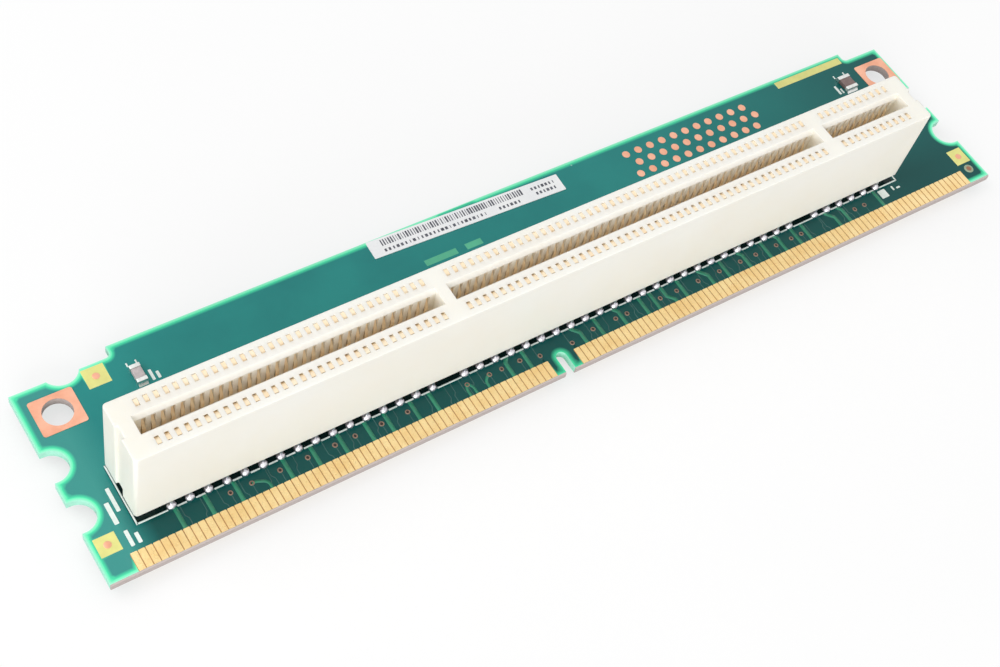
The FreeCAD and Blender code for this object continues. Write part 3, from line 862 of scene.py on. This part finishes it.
class RISER_OT_board(Operator):
    """Make the circuit board with its solder mask, cut edges and openings in the mask"""

    bl_idname = "riser.board"
    bl_label = "Circuit Board"

    def execute(self, context):
        looks = context.scene.riser_board
        mask, rim, bare, bed, window, clear = range(6)
        mesh = merged_copy("circuit_board")
        outlines = face_outlines(mesh, TOP)
        face_outlines(mesh, UNDERSIDE)
        bores = [land_bore(side) for side in ENDS]
        for face in mesh.faces:
            middle = face.calc_center_median()
            in_bore = any((middle.xy - place.xy).length < 1.01 * bore for place, bore in bores)
            face.material_index = bare if in_bore or middle.y < FINGER_FRONT else rim
        beds = [(box, bed) for box in finger_beds()]
        openings = [(in_metres(box), window) for box in (*FIDUCIAL_WINDOWS, LAYER_WINDOW)]
        openings += [(in_metres(box), clear) for box in CLEAR_WINDOWS]
        sheet = board_sheet(outlines, [box for box, _ in beds + openings], looks.band_width)
        cover_face(mesh, sheet, beds + openings, TOP)
        cover_face(mesh, sheet, beds, UNDERSIDE)
        bmesh.ops.remove_doubles(mesh, verts=mesh.verts, dist=MERGE)
        bmesh.ops.delete(mesh, geom=[vert for vert in mesh.verts if not vert.link_faces], context="VERTS")
        mark_band(mesh, outlines[0], looks.band_width)
        materials = (
            mask_material(looks),
            laminate_material("tinted_edge", looks.rim),
            laminate_material("bare_laminate", looks.laminate),
            drifting("finger_bed", looks.bed, darker(looks.bed, 0.7), 1 * MM, (0.4, 0.6), 0.005 * MM),
            drifting("mask_window", looks.window, darker(looks.window, 0.88), 1.5 * MM, (0.3, 0.5),
                     0.006 * MM),
            drifting("clear_mask", looks.clear, darker(looks.clear, 0.85), 2 * MM, (0.15, 0.25)),
        )
        settle(to_object("board", mesh, *materials), "solder_mask", "circuit_board")
        return {"FINISHED"}


# Copper


def finger_run(box, pitch):
    """X of the first finger of a run, and how many there are."""
    low, high = box
    count = math.floor((high.x - low.x) / pitch) + 1
    return (low.x + high.x - (count - 1) * pitch) / 2, count


def finger_x(side, count, pitch):
    """X of a finger counted away from the key notch, to the right for side 1 and to the left for -1."""
    first, fingers = finger_run(FINGERS_RIGHT if side > 0 else FINGERS_LEFT, pitch)
    return first + (count if side > 0 else fingers - 1 - count) * pitch


class RISER_OT_fingers(Operator):
    """Make the gold fingers on both faces of the board"""

    bl_idname = "riser.fingers"
    bl_label = "Gold Fingers"

    def execute(self, context):
        looks = context.scene.riser_copper
        gold = drifting("finger_gold", looks.gold, looks.gold_shade, 3 * MM, (0.24, 0.42), 0.003 * MM,
                        metallic=1.0)
        half, corner, height = looks.finger_width / 2, looks.finger_corner, looks.finger_height
        outline = rounded_box((-half, FINGER_FRONT), (half, FINGER_REAR), (0, 0, corner, corner))
        levels = {"top": (TOP, TOP + height), "bottom": (UNDERSIDE - height, UNDERSIDE)}
        for face, (low, high) in levels.items():
            for run in ENDS:
                node = f"{face}_fingers_{run}"
                first, count = finger_run(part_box(node), looks.finger_pitch)
                row = copies(f"gold_{node}", prism(outline, low, high), gold, smooth=0, Count=count,
                             Start=(first, 0.0, 0.0), Step=(looks.finger_pitch, 0.0, 0.0))
                settle(row, "finger_gold", node)
        return {"FINISHED"}


def wide_lines(side, steps, pitch, rear):
    """Lines of the wide traces: from a finger to the socket's outline, some stepping aside on the way."""
    lines = []
    slope, margin = 1.1, 0.1 * MM
    for count, step in steps.items():
        x = finger_x(side, count, pitch)
        aside = step * MM
        end = EARLY_END if side > 0 and count in EARLY_RIGHT else rear - margin
        turns = [(x, end - slope * abs(aside)), (x + aside, end)] if step else []
        lines.append([(x, TRACE_START), *turns, (x + aside, rear)])
    return lines


def fine_lines(side, counts, taken, pitch, rear):
    """Lines of the fine traces: on the fingers left over, drifting aside to pass the vias."""
    lines = []
    slope, drift, first_turn, later = 1.3, 0.35 * MM, 0.5 * MM, 0.3 * MM
    for count in counts:
        if count in taken or count % 3 == 1:
            continue
        x = finger_x(side, count, pitch)
        aside = drift if (count // 2) % 2 else -drift
        low = FINGER_REAR + first_turn + later * (count % 3)
        lines.append([(x, TRACE_START), (x, low), (x + aside, low + slope * drift), (x + aside, rear)])
    return lines


def via_places(pitch):
    """Places of the vias on both sides of the key notch."""
    right = [(finger_x(1, count, pitch), VIA_LINE_RIGHT) for count in VIAS_RIGHT]
    left = [(finger_x(-1, count, pitch), VIA_LINE_LEFT) for count in VIAS_LEFT]
    at_key = [(finger_x(1, 0, pitch), KEY_VIA_RIGHT), (finger_x(-1, 0, pitch), KEY_VIA_LEFT)]
    return right + left + at_key


def via_lines(pitch):
    """Short fine traces from the fingers to the vias in front of them."""
    return [[(x, TRACE_START), (x, y)] for x, y in via_places(pitch)]


def bent_lines(pitch):
    """Traces on the left that bend over to a via."""
    lines = []
    bend, flat = VIA_LINE_LEFT - 0.65 * MM, VIA_LINE_LEFT - 0.05 * MM
    for finger, via in BENT_LEFT:
        start, end = finger_x(-1, finger, pitch), finger_x(-1, via, pitch)
        lines.append([(start, TRACE_START), (start, bend), ((start + 2 * end) / 3, flat),
                      (end, VIA_LINE_LEFT)])
    return lines


def via_ring(radius, bore, height):
    """A low ring round a sunken plug, which an attribute marks as the hole."""
    profile = [(radius, 0), (0.93 * radius, 0.8 * height), (0.6 * radius, height),
               (1.15 * bore, 0.9 * height), (bore, 0.5 * height), (0, 0.45 * height)]
    mesh = lathe(profile if height > 0 else profile[::-1], 12)
    hole = mesh.verts.layers.float.new("hole")
    for vert in mesh.verts:
        vert[hole] = 1.0 if vert.co.xy.length < 1.05 * bore else 0.0
    return mesh


class RISER_OT_traces(Operator):
    """Make the traces and vias between the fingers and the socket, on both faces"""

    bl_idname = "riser.traces"
    bl_label = "Traces and Vias"

    def execute(self, context):
        looks = context.scene.riser_copper
        pitch = looks.finger_pitch
        trace = drifting("trace_mask", looks.trace, darker(looks.trace, 0.75), 4 * MM, (0.14, 0.24))
        fine = drifting("fine_trace_mask", looks.fine_trace, darker(looks.fine_trace, 0.7), 4 * MM,
                        (0.14, 0.24))
        # The via's dark middle is painted shade for its hole.
        via = via_material("via_ring", looks.via, looks.via_hole_shade)
        rear = SOCKET_LINE - context.scene.riser_print.outline_gap - 0.1 * MM
        wide = wide_lines(1, WIDE_RIGHT, pitch, rear) + wide_lines(-1, WIDE_LEFT, pitch, rear)
        thin = fine_lines(1, range(max(VIAS_RIGHT)), (*WIDE_RIGHT, *VIAS_RIGHT), pitch, rear)
        thin += fine_lines(-1, range(max(WIDE_LEFT)), (*WIDE_LEFT, *VIAS_LEFT), pitch, rear)
        thin += via_lines(pitch)
        for face, level, up in (("top", TOP, 1), ("bottom", UNDERSIDE, -1)):
            rows = (("wide_traces", wide, looks.trace_width, trace, 1.0, 0.4),
                    ("bent_traces", bent_lines(pitch), 0.7 * looks.trace_width, trace, 0.9, 1.0),
                    ("fine_traces", thin, looks.fine_width, fine, 0.6, 0.4))
            for name, lines, width, material, share, bend in rows:
                strips = grow(f"{face}_{name}", "path", line_set(lines, level), Width=width,
                              Height=share * looks.trace_height, Bend=bend * MM, Material=material)
                settle(strips, "solder_mask")
            places = [(x, y, level) for x, y in via_places(pitch)]
            ring = via_ring(looks.via_radius, looks.via_bore, looks.via_height * up)
            rings = copies(f"{face}_vias", ring, via, data=point_cloud(places),
                           Least_Scale=(0.92, 0.92, 1.0), Most_Scale=(1.06, 1.06, 1.0))
            settle(rings, "bare_copper")
        return {"FINISHED"}


def copper_dot(radius, height, crown, steps):
    """A flat round dot with a bevelled rim; crown is the share of its radius that stays flat."""
    return lathe([(radius, 0), (radius, 0.7 * height), (crown * radius, height), (0, height)], steps)


class RISER_OT_lands(Operator):
    """Make the copper lands, fiducial dots, ring pad and copper balance dots"""

    bl_idname = "riser.lands"
    bl_label = "Bare Copper"

    def execute(self, context):
        looks = context.scene.riser_copper
        copper = drifting("bare_copper", looks.copper, looks.copper_shade, 2.5 * MM, (0.3, 0.46), 0.004 * MM,
                          metallic=1.0)
        for side in ENDS:
            node = f"mounting_land_{side}"
            low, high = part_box(node)
            middle, bore = land_bore(side)
            outline = rounded_box(low, high, [looks.land_corner] * 4)
            plate = prism(outline, low.z, high.z, circle(middle.x, middle.y, bore, 48))
            settle(to_object(f"copper_land_{side}", plate, copper), "bare_copper", node)

        windows = [in_metres(window) for window in FIDUCIAL_WINDOWS]
        middles = [((low[0] + high[0]) / 2, (low[1] + high[1]) / 2, TOP) for low, high in windows]
        dot = copper_dot(looks.dot_radius, looks.dot_height, 0.9, 24)
        settle(copies("fiducial_dots", dot, copper, data=point_cloud(middles)), "bare_copper")

        ring = via_ring(looks.pad_radius, looks.pad_bore, looks.pad_height)
        tinned = via_material("ring_pad", looks.pad, looks.pad_middle)
        middle = (RING_PAD[0] * MM, RING_PAD[1] * MM, TOP)
        settle(copies("ring_pad", ring, tinned, data=point_cloud([middle])), "bare_copper")

        pitch = looks.balance_pitch
        rise = 0.87 * pitch
        for row in range(looks.balance_rows):
            dot = copper_dot(looks.balance_radius, looks.dot_height, 0.92, 20)
            start = (BALANCE_START[0] * MM + (row % 2) * pitch / 2, BALANCE_START[1] * MM + row * rise, TOP)
            dots = copies(f"balance_dots_{row + 1}", dot, copper, Count=looks.balance_columns, Start=start,
                          Step=(pitch, 0.0, 0.0))
            settle(dots, "bare_copper")
        return {"FINISHED"}


# Socket


def on_outside(place):
    """Whether a place on the housing lies in its outer walls, grooves at the ends included."""
    across = min(abs(place.y - HOUSING_LOW.y), abs(place.y - HOUSING_HIGH.y))
    along = min(abs(place.x - HOUSING_LOW.x), abs(place.x - HOUSING_HIGH.x))
    return across < MERGE or along < END_GROOVE


class RISER_OT_housing(Operator):
    """Make the cream housing with rounded edges"""

    bl_idname = "riser.housing"
    bl_label = "Socket Housing"

    def execute(self, context):
        looks = context.scene.riser_socket
        mesh = merged_copy("connector_housing")
        bmesh.ops.dissolve_limit(mesh, angle_limit=math.radians(1), verts=mesh.verts, edges=mesh.edges)
        weight = mesh.edges.layers.float.new("bevel_weight_edge")
        for edge in mesh.edges:
            outside = all(on_outside(vert.co) for vert in edge.verts)
            edge[weight] = float(outside and edge.calc_face_angle(0) > math.radians(25))
        plastic = drifting("cream_plastic", looks.plastic, looks.plastic_shade, 12 * MM, (0.36, 0.5),
                           0.004 * MM, grain_scale=2500.0, Subsurface_Weight=0.35,
                           Subsurface_Radius=(1.0, 0.94, 0.86), Subsurface_Scale=1.5 * MM)
        item = to_object("socket_housing", mesh, plastic)
        rounding = item.modifiers.new("rounding", "BEVEL")
        rounding.limit_method = "WEIGHT"
        rounding.width = looks.outer_round
        rounding.segments = 2
        rounding.use_clamp_overlap = False
        rounding.loop_slide = False
        rounding.harden_normals = True
        result = bpy.data.meshes.new_from_object(item.evaluated_get(context.evaluated_depsgraph_get()))
        item.modifiers.remove(rounding)
        item.data = result
        settle(item, "cream_plastic", "connector_housing")
        return {"FINISHED"}


def spring(side, looks):
    """A contact spring at X 0, which leans out to a round nose and bends back to its window."""
    low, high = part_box(f"{side}_contacts_left")
    wall, nose = (low.y, high.y) if side == "front" else (high.y, low.y)
    back = -1 if side == "front" else 1
    thickness = looks.contact_thickness
    nose_z = high.z - looks.nose_drop
    sunk = 0.1 * MM
    foot = Vector((wall - back * sunk, low.z + sunk))
    flank = Vector((nose + back * 0.42 * abs(wall - nose), nose_z - 0.55 * (nose_z - low.z)))
    crest = Vector((nose + back * thickness / 2, nose_z))
    bend = Vector((nose + back * looks.tip_setback, high.z))
    shoulder = Vector((wall + back * looks.tip_reach / 2, HOUSING_HIGH.z - 2 * looks.tip_depth))
    tip = Vector((wall + back * looks.tip_reach, HOUSING_HIGH.z - looks.tip_depth))
    line = smooth_line([foot, flank, crest, bend, shoulder, tip], 2)
    mesh = bmesh.new()
    rings = []
    for index, point in enumerate(line):
        in_window = point.y > HOUSING_HIGH.z - 3 * looks.tip_depth
        along = (line[min(index + 1, len(line) - 1)] - line[max(index - 1, 0)]).normalized()
        across = along.orthogonal() * thickness / 2
        half = (looks.tip_width if in_window else looks.contact_width) / 2
        inner, outer = point - across, point + across
        corners = ((-half, inner), (half, inner), (half, outer), (-half, outer))
        rings.append([mesh.verts.new((x, *place)) for x, place in corners])
    for under, over in zip(rings, rings[1:]):
        for index in range(4):
            mesh.faces.new((under[index - 1], under[index], over[index], over[index - 1]))
    mesh.faces.new(rings[0])
    mesh.faces.new(rings[-1])
    bmesh.ops.recalc_face_normals(mesh, faces=mesh.faces)
    return mesh


class RISER_OT_contacts(Operator):
    """Make the contact springs in the slot"""

    bl_idname = "riser.contacts"
    bl_label = "Contact Springs"

    def execute(self, context):
        looks = context.scene.riser_socket
        gold = drifting("contact_gold", looks.contact, looks.contact_shade, 1.5 * MM, (0.4, 0.55),
                        metallic=0.3)
        for side in SIDES:
            for section, first, count in SECTIONS:
                start = (contact_x(first, looks), 0.0, 0.0)
                row = copies(f"springs_{side}_{section}", spring(side, looks), gold, Count=count, Start=start,
                             Step=(looks.contact_pitch, 0.0, 0.0))
                settle(row, "contact_gold", f"{side}_contacts_{section}")
        return {"FINISHED"}


def pin_places(parity, y, level, looks):
    """Places of every second contact of each section."""
    return [(contact_x(position, looks), y, level) for _, first, count in SECTIONS
            for position in range(first, first + count) if position % 2 == parity]


class RISER_OT_joints(Operator):
    """Make the solder joints and pins above and under the board"""

    bl_idname = "riser.joints"
    bl_label = "Solder Joints"

    def execute(self, context):
        looks = context.scene.riser_socket
        solder = drifting("solder", looks.solder, looks.solder_shade, 0.8 * MM, (0.28, 0.5), 0.006 * MM,
                          metallic=1.0, grain_scale=6000.0)
        joint, pin = looks.joint_radius, looks.pin_radius
        drop = UNDERSIDE - CAD_BOX[0].z
        under = [(0, -drop), (0.6 * pin, -drop), (pin, -0.93 * drop), (pin, -0.62 * drop),
                 (1.35 * pin, -0.45 * drop), (0.6 * joint, -0.25 * drop), (0.86 * joint, -0.1 * drop),
                 (joint, 0)]
        gap = looks.standoff
        over = [(joint, 0), (0.98 * joint, 0.1 * gap), (0.82 * joint, 0.24 * gap), (0.55 * joint, 0.33 * gap),
                (pin, 0.38 * gap), (pin, gap)]
        for side in SIDES:
            for row, parity in (("outer", 1), ("inner", 0)):
                node = f"tails_{side}_{row}"
                low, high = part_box(node)
                y = (low.y + high.y) / 2
                bulge = math.copysign(looks.joint_lean, y - SOCKET_LINE) if row == "outer" else 0
                for name, profile, place, nodes in ((f"joints_{side}_{row}", under, (y, UNDERSIDE), [node]),
                                                    (f"pins_{side}_{row}", over, (y + bulge, TOP), [])):
                    places = pin_places(parity, *place, looks)
                    group = copies(name, lathe(profile, 8), solder, smooth=50.0, Least_Scale=(0.9, 0.9, 1.0),
                                   Most_Scale=(1.08, 1.08, 1.0), data=point_cloud(places))
                    settle(group, "solder", *nodes)
        return {"FINISHED"}


# Chip capacitors


def fillet(low, high, outwards, looks):
    """Solder that runs from an end of a capacitor down onto the board."""
    y = high.y if outwards > 0 else low.y
    rise, reach = looks.fillet_rise, outwards * looks.fillet_reach
    section = [(y, low.z), (y + reach, low.z), (y + 0.45 * reach, low.z + 0.3 * rise),
               (y + 0.15 * reach, low.z + 0.65 * rise), (y, low.z + rise)]
    mesh = bmesh.new()
    rings = [[mesh.verts.new((x, *place)) for place in section]
             for x in (low.x + looks.rounding, high.x - looks.rounding)]
    for index in range(len(section)):
        mesh.faces.new((rings[0][index - 1], rings[0][index], rings[1][index], rings[1][index - 1]))
    for ring in rings:
        mesh.faces.new(ring)
    bmesh.ops.recalc_face_normals(mesh, faces=mesh.faces)
    return mesh


class RISER_OT_capacitors(Operator):
    """Make the two chip capacitors, their tinned ends and the solder under them"""

    bl_idname = "riser.capacitors"
    bl_label = "Capacitors"

    def execute(self, context):
        looks = context.scene.riser_chips
        tin = drifting("terminal_tin", looks.tin, looks.tin_shade, 0.5 * MM, (0.25, 0.45), 0.005 * MM,
                       metallic=1.0)
        for side, tone in (("left", looks.left_body), ("right", looks.right_body)):
            ceramic = drifting(f"ceramic_{side}", tone, darker(tone, 0.75), 0.6 * MM, (0.35, 0.5), 0.006 * MM)
            low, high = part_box(f"capacitor_{side}_body")
            body = soften(to_object(f"chip_{side}", block(low, high, looks.rounding), ceramic))
            settle(body, "capacitor_ceramic", f"capacitor_{side}_body")
            front_low, rear_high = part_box(f"capacitor_{side}_terminals")
            front_high = Vector((rear_high.x, low.y, rear_high.z))
            rear_low = Vector((front_low.x, high.y, front_low.z))
            tinned = join([block(front_low, front_high, looks.rounding, 3),
                           block(rear_low, rear_high, looks.rounding, 3),
                           fillet(front_low, front_high, -1, looks),
                           fillet(rear_low, rear_high, 1, looks)])
            ends = soften(to_object(f"chip_ends_{side}", tinned, tin))
            settle(ends, "terminal_tin", f"capacitor_{side}_terminals")
        return {"FINISHED"}


# Print


def printed_lines(name, lines, ink, looks):
    """Lines of white print, half their height sunk in the board."""
    strips = grow(name, "path", line_set(lines, TOP), Width=looks.ink_width, Height=2 * looks.ink_height,
                  Bend=0.0, Material=ink)
    settle(strips, "label_paper")


class RISER_OT_print(Operator):
    """Print the socket's broken outline, the first contact's mark, ticks and plain bars on the board"""

    bl_idname = "riser.print"
    bl_label = "White Print"

    def execute(self, context):
        looks = context.scene.riser_print
        socket = context.scene.riser_socket
        ink = drifting("white_ink", looks.ink, looks.ink_shade, 0.8 * MM, (0.4, 0.6), 0.004 * MM)
        half_dash, half_width = looks.dash_length / 2, looks.ink_width / 2
        dash = rounded_box((-half_dash, -half_width), (half_dash, half_width), [0.4 * half_width] * 4, 1)
        clear = socket.contact_pitch - half_dash
        left, right = HOUSING_LOW.x + looks.end_cover, HOUSING_HIGH.x + looks.end_gap
        gap = looks.outline_gap
        for side, y in zip(SIDES, (SOCKET_LINE - gap, SOCKET_LINE + gap)):
            rests = [left]
            for section, first, count in SECTIONS:
                odd = [position for position in range(first, first + count) if position % 2]
                start = (contact_x(odd[0] + 1, socket), y, TOP)
                row = copies(f"dashes_{side}_{section}", prism(dash, 0, looks.ink_height), ink, smooth=0,
                             Count=len(odd) - 1, Start=start, Step=(2 * socket.contact_pitch, 0.0, 0.0))
                settle(row, "label_paper")
                rests += [contact_x(odd[0], socket) - clear, contact_x(odd[-1], socket) + clear]
            rests.append(right)
            lines = [[(low, y), (high, y)] for low, high in zip(rests[::2], rests[1::2])]
            printed_lines(f"outline_{side}", lines, ink, looks)
        reach = gap + half_width
        ends = [[(x, SOCKET_LINE - reach), (x, SOCKET_LINE + reach)] for x in (left, right)]
        for chip in ENDS:
            low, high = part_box(f"capacitor_{chip}_terminals")
            rear = high.y + looks.tick_gap
            ticks = (low.x + half_width, high.x - half_width)
            ends += [[(x, rear), (x, rear + looks.tick_length)] for x in ticks]
        printed_lines("outline_ends", ends, ink, looks)
        blocks = join([prism(rounded_box(low, high, [looks.corner] * 4), TOP, TOP + looks.ink_height)
                       for low, high in map(in_metres, PRINT_BLOCKS)])
        settle(to_object("print_blocks", blocks, ink), "label_paper")
        return {"FINISHED"}


class RISER_OT_label(Operator):
    """Stick the paper label on, with plain bars and lines"""

    bl_idname = "riser.label"
    bl_label = "Paper Label"

    def execute(self, context):
        looks = context.scene.riser_print
        low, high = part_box("paper_label")
        middle = (low + high) / 2
        turn = Matrix.Rotation(looks.label_turn, 4, "Z")
        paper = drifting("label_paper", looks.paper, looks.paper_shade, 6 * MM, (0.45, 0.6), 0.006 * MM,
                         grain_scale=9000.0)
        dark = drifting("label_print", looks.bars, looks.bars_shade, 1 * MM, (0.45, 0.6))
        half_length, half_width = looks.label_length / 2, looks.label_width / 2
        outline = rounded_box((-half_length, -half_width), (half_length, half_width), [looks.corner] * 4)
        sheet = prism(outline, low.z, high.z)
        sheet.transform(Matrix.Translation((middle.x, middle.y, 0)) @ turn)
        settle(to_object("label", sheet, paper), "label_paper", "paper_label")
        for name, along, across, size, count, tall, pitch in LABEL_ROWS:
            corner = (size * MM / 2, tall * MM / 2)
            bar = prism(square_box((-corner[0], -corner[1]), corner), 0, looks.bars_height)
            start = turn @ Vector((along * MM, across * MM, 0)) + Vector((middle.x, middle.y, high.z))
            step = turn @ Vector((pitch * MM, 0, 0))
            row = copies(f"label_{name}", bar, dark, smooth=0, Count=count, Start=tuple(start),
                         Step=tuple(step), Turn=looks.label_turn, Least_Scale=(0.4, 1.0, 1.0),
                         Most_Scale=(1.8, 1.0, 1.0), Seed=looks.seed)
            settle(row, "label_paper")
        return {"FINISHED"}


# Stage


def soft_lamp(name, place, size, power):
    """A square lamp that points at the origin, under the middle of the card."""
    lamp = bpy.data.lights.new(name, "AREA")
    lamp.shape = "SQUARE"
    lamp.size = size
    lamp.energy = power
    item = new_object(name, lamp)
    item.location = place
    item.rotation_euler = (-Vector(place)).to_track_quat("-Z", "Y").to_euler()


class RISER_OT_stage(Operator):
    """Make the floor, the light and the camera"""

    bl_idname = "riser.stage"
    bl_label = "Stage"

    def execute(self, context):
        looks = context.scene.riser_stage
        scene = context.scene
        scene.view_settings.view_transform = "Standard"
        half = looks.floor_size / 2
        mesh = bmesh.new()
        mesh.faces.new([mesh.verts.new((x, y, CAD_BOX[0].z)) for x, y in
                        ((-half, -half), (half, -half), (half, half), (-half, half))])
        to_object("floor", mesh, floor_material(looks))

        world = bpy.data.worlds.new("soft_light")
        world.use_nodes = True
        scene.world = world
        tree = world.node_tree
        background = tree.nodes["Background"]
        background.inputs["Color"].default_value = (1, 1, 1, 1)
        tree.links.new(mix_levels(tree, seen_directly(tree), looks.sky, 1.0), background.inputs["Strength"])

        soft_lamp("key_lamp", looks.key_place, looks.key_size, looks.key_power)
        soft_lamp("fill_lamp", looks.fill_place, looks.fill_size, looks.fill_power)
        scene.cycles.max_bounces = looks.bounces
        scene.cycles.diffuse_bounces = looks.bounces

        lens = bpy.data.cameras.new("camera")
        lens.sensor_width = 36.0
        lens.lens = looks.camera_lens
        camera = new_object("camera", lens)
        camera.location = looks.camera_place
        camera.rotation_euler = looks.camera_turn
        scene.camera = camera
        return {"FINISHED"}


OPERATORS = (RISER_OT_stage, RISER_OT_board, RISER_OT_traces, RISER_OT_fingers, RISER_OT_lands,
             RISER_OT_housing, RISER_OT_contacts, RISER_OT_joints, RISER_OT_capacitors, RISER_OT_print,
             RISER_OT_label)
LOOKS = {"riser_board": BoardLooks, "riser_copper": CopperLooks, "riser_socket": SocketLooks,
         "riser_chips": ChipLooks, "riser_print": PrintLooks, "riser_stage": StageLooks}


class RISER_PT_looks(Panel):
    """The card's pieces and their looks"""

    bl_idname = "RISER_PT_looks"
    bl_label = "Riser Card"
    bl_space_type = "VIEW_3D"
    bl_region_type = "UI"
    bl_category = "Riser Card"

    def draw(self, context):
        for operator in OPERATORS:
            self.layout.operator(operator.bl_idname)
        for name, looks in LOOKS.items():
            column = self.layout.column()
            for key in looks.__annotations__:
                column.prop(getattr(context.scene, name), key)


def register():
    for kind in (*LOOKS.values(), *OPERATORS, RISER_PT_looks):
        bpy.utils.register_class(kind)
    for name, looks in LOOKS.items():
        setattr(bpy.types.Scene, name, PointerProperty(type=looks))


def unregister():
    for name in LOOKS:
        delattr(bpy.types.Scene, name)
    for kind in (RISER_PT_looks, *OPERATORS, *LOOKS.values()):
        bpy.utils.unregister_class(kind)


def main():
    register()
    bpy.ops.riser.stage()
    bpy.ops.riser.board()
    bpy.ops.riser.traces()
    bpy.ops.riser.fingers()
    bpy.ops.riser.lands()
    bpy.ops.riser.housing()
    bpy.ops.riser.contacts()
    bpy.ops.riser.joints()
    bpy.ops.riser.capacitors()
    bpy.ops.riser.print()
    bpy.ops.riser.label()


if __name__ == "__main__":
    main()
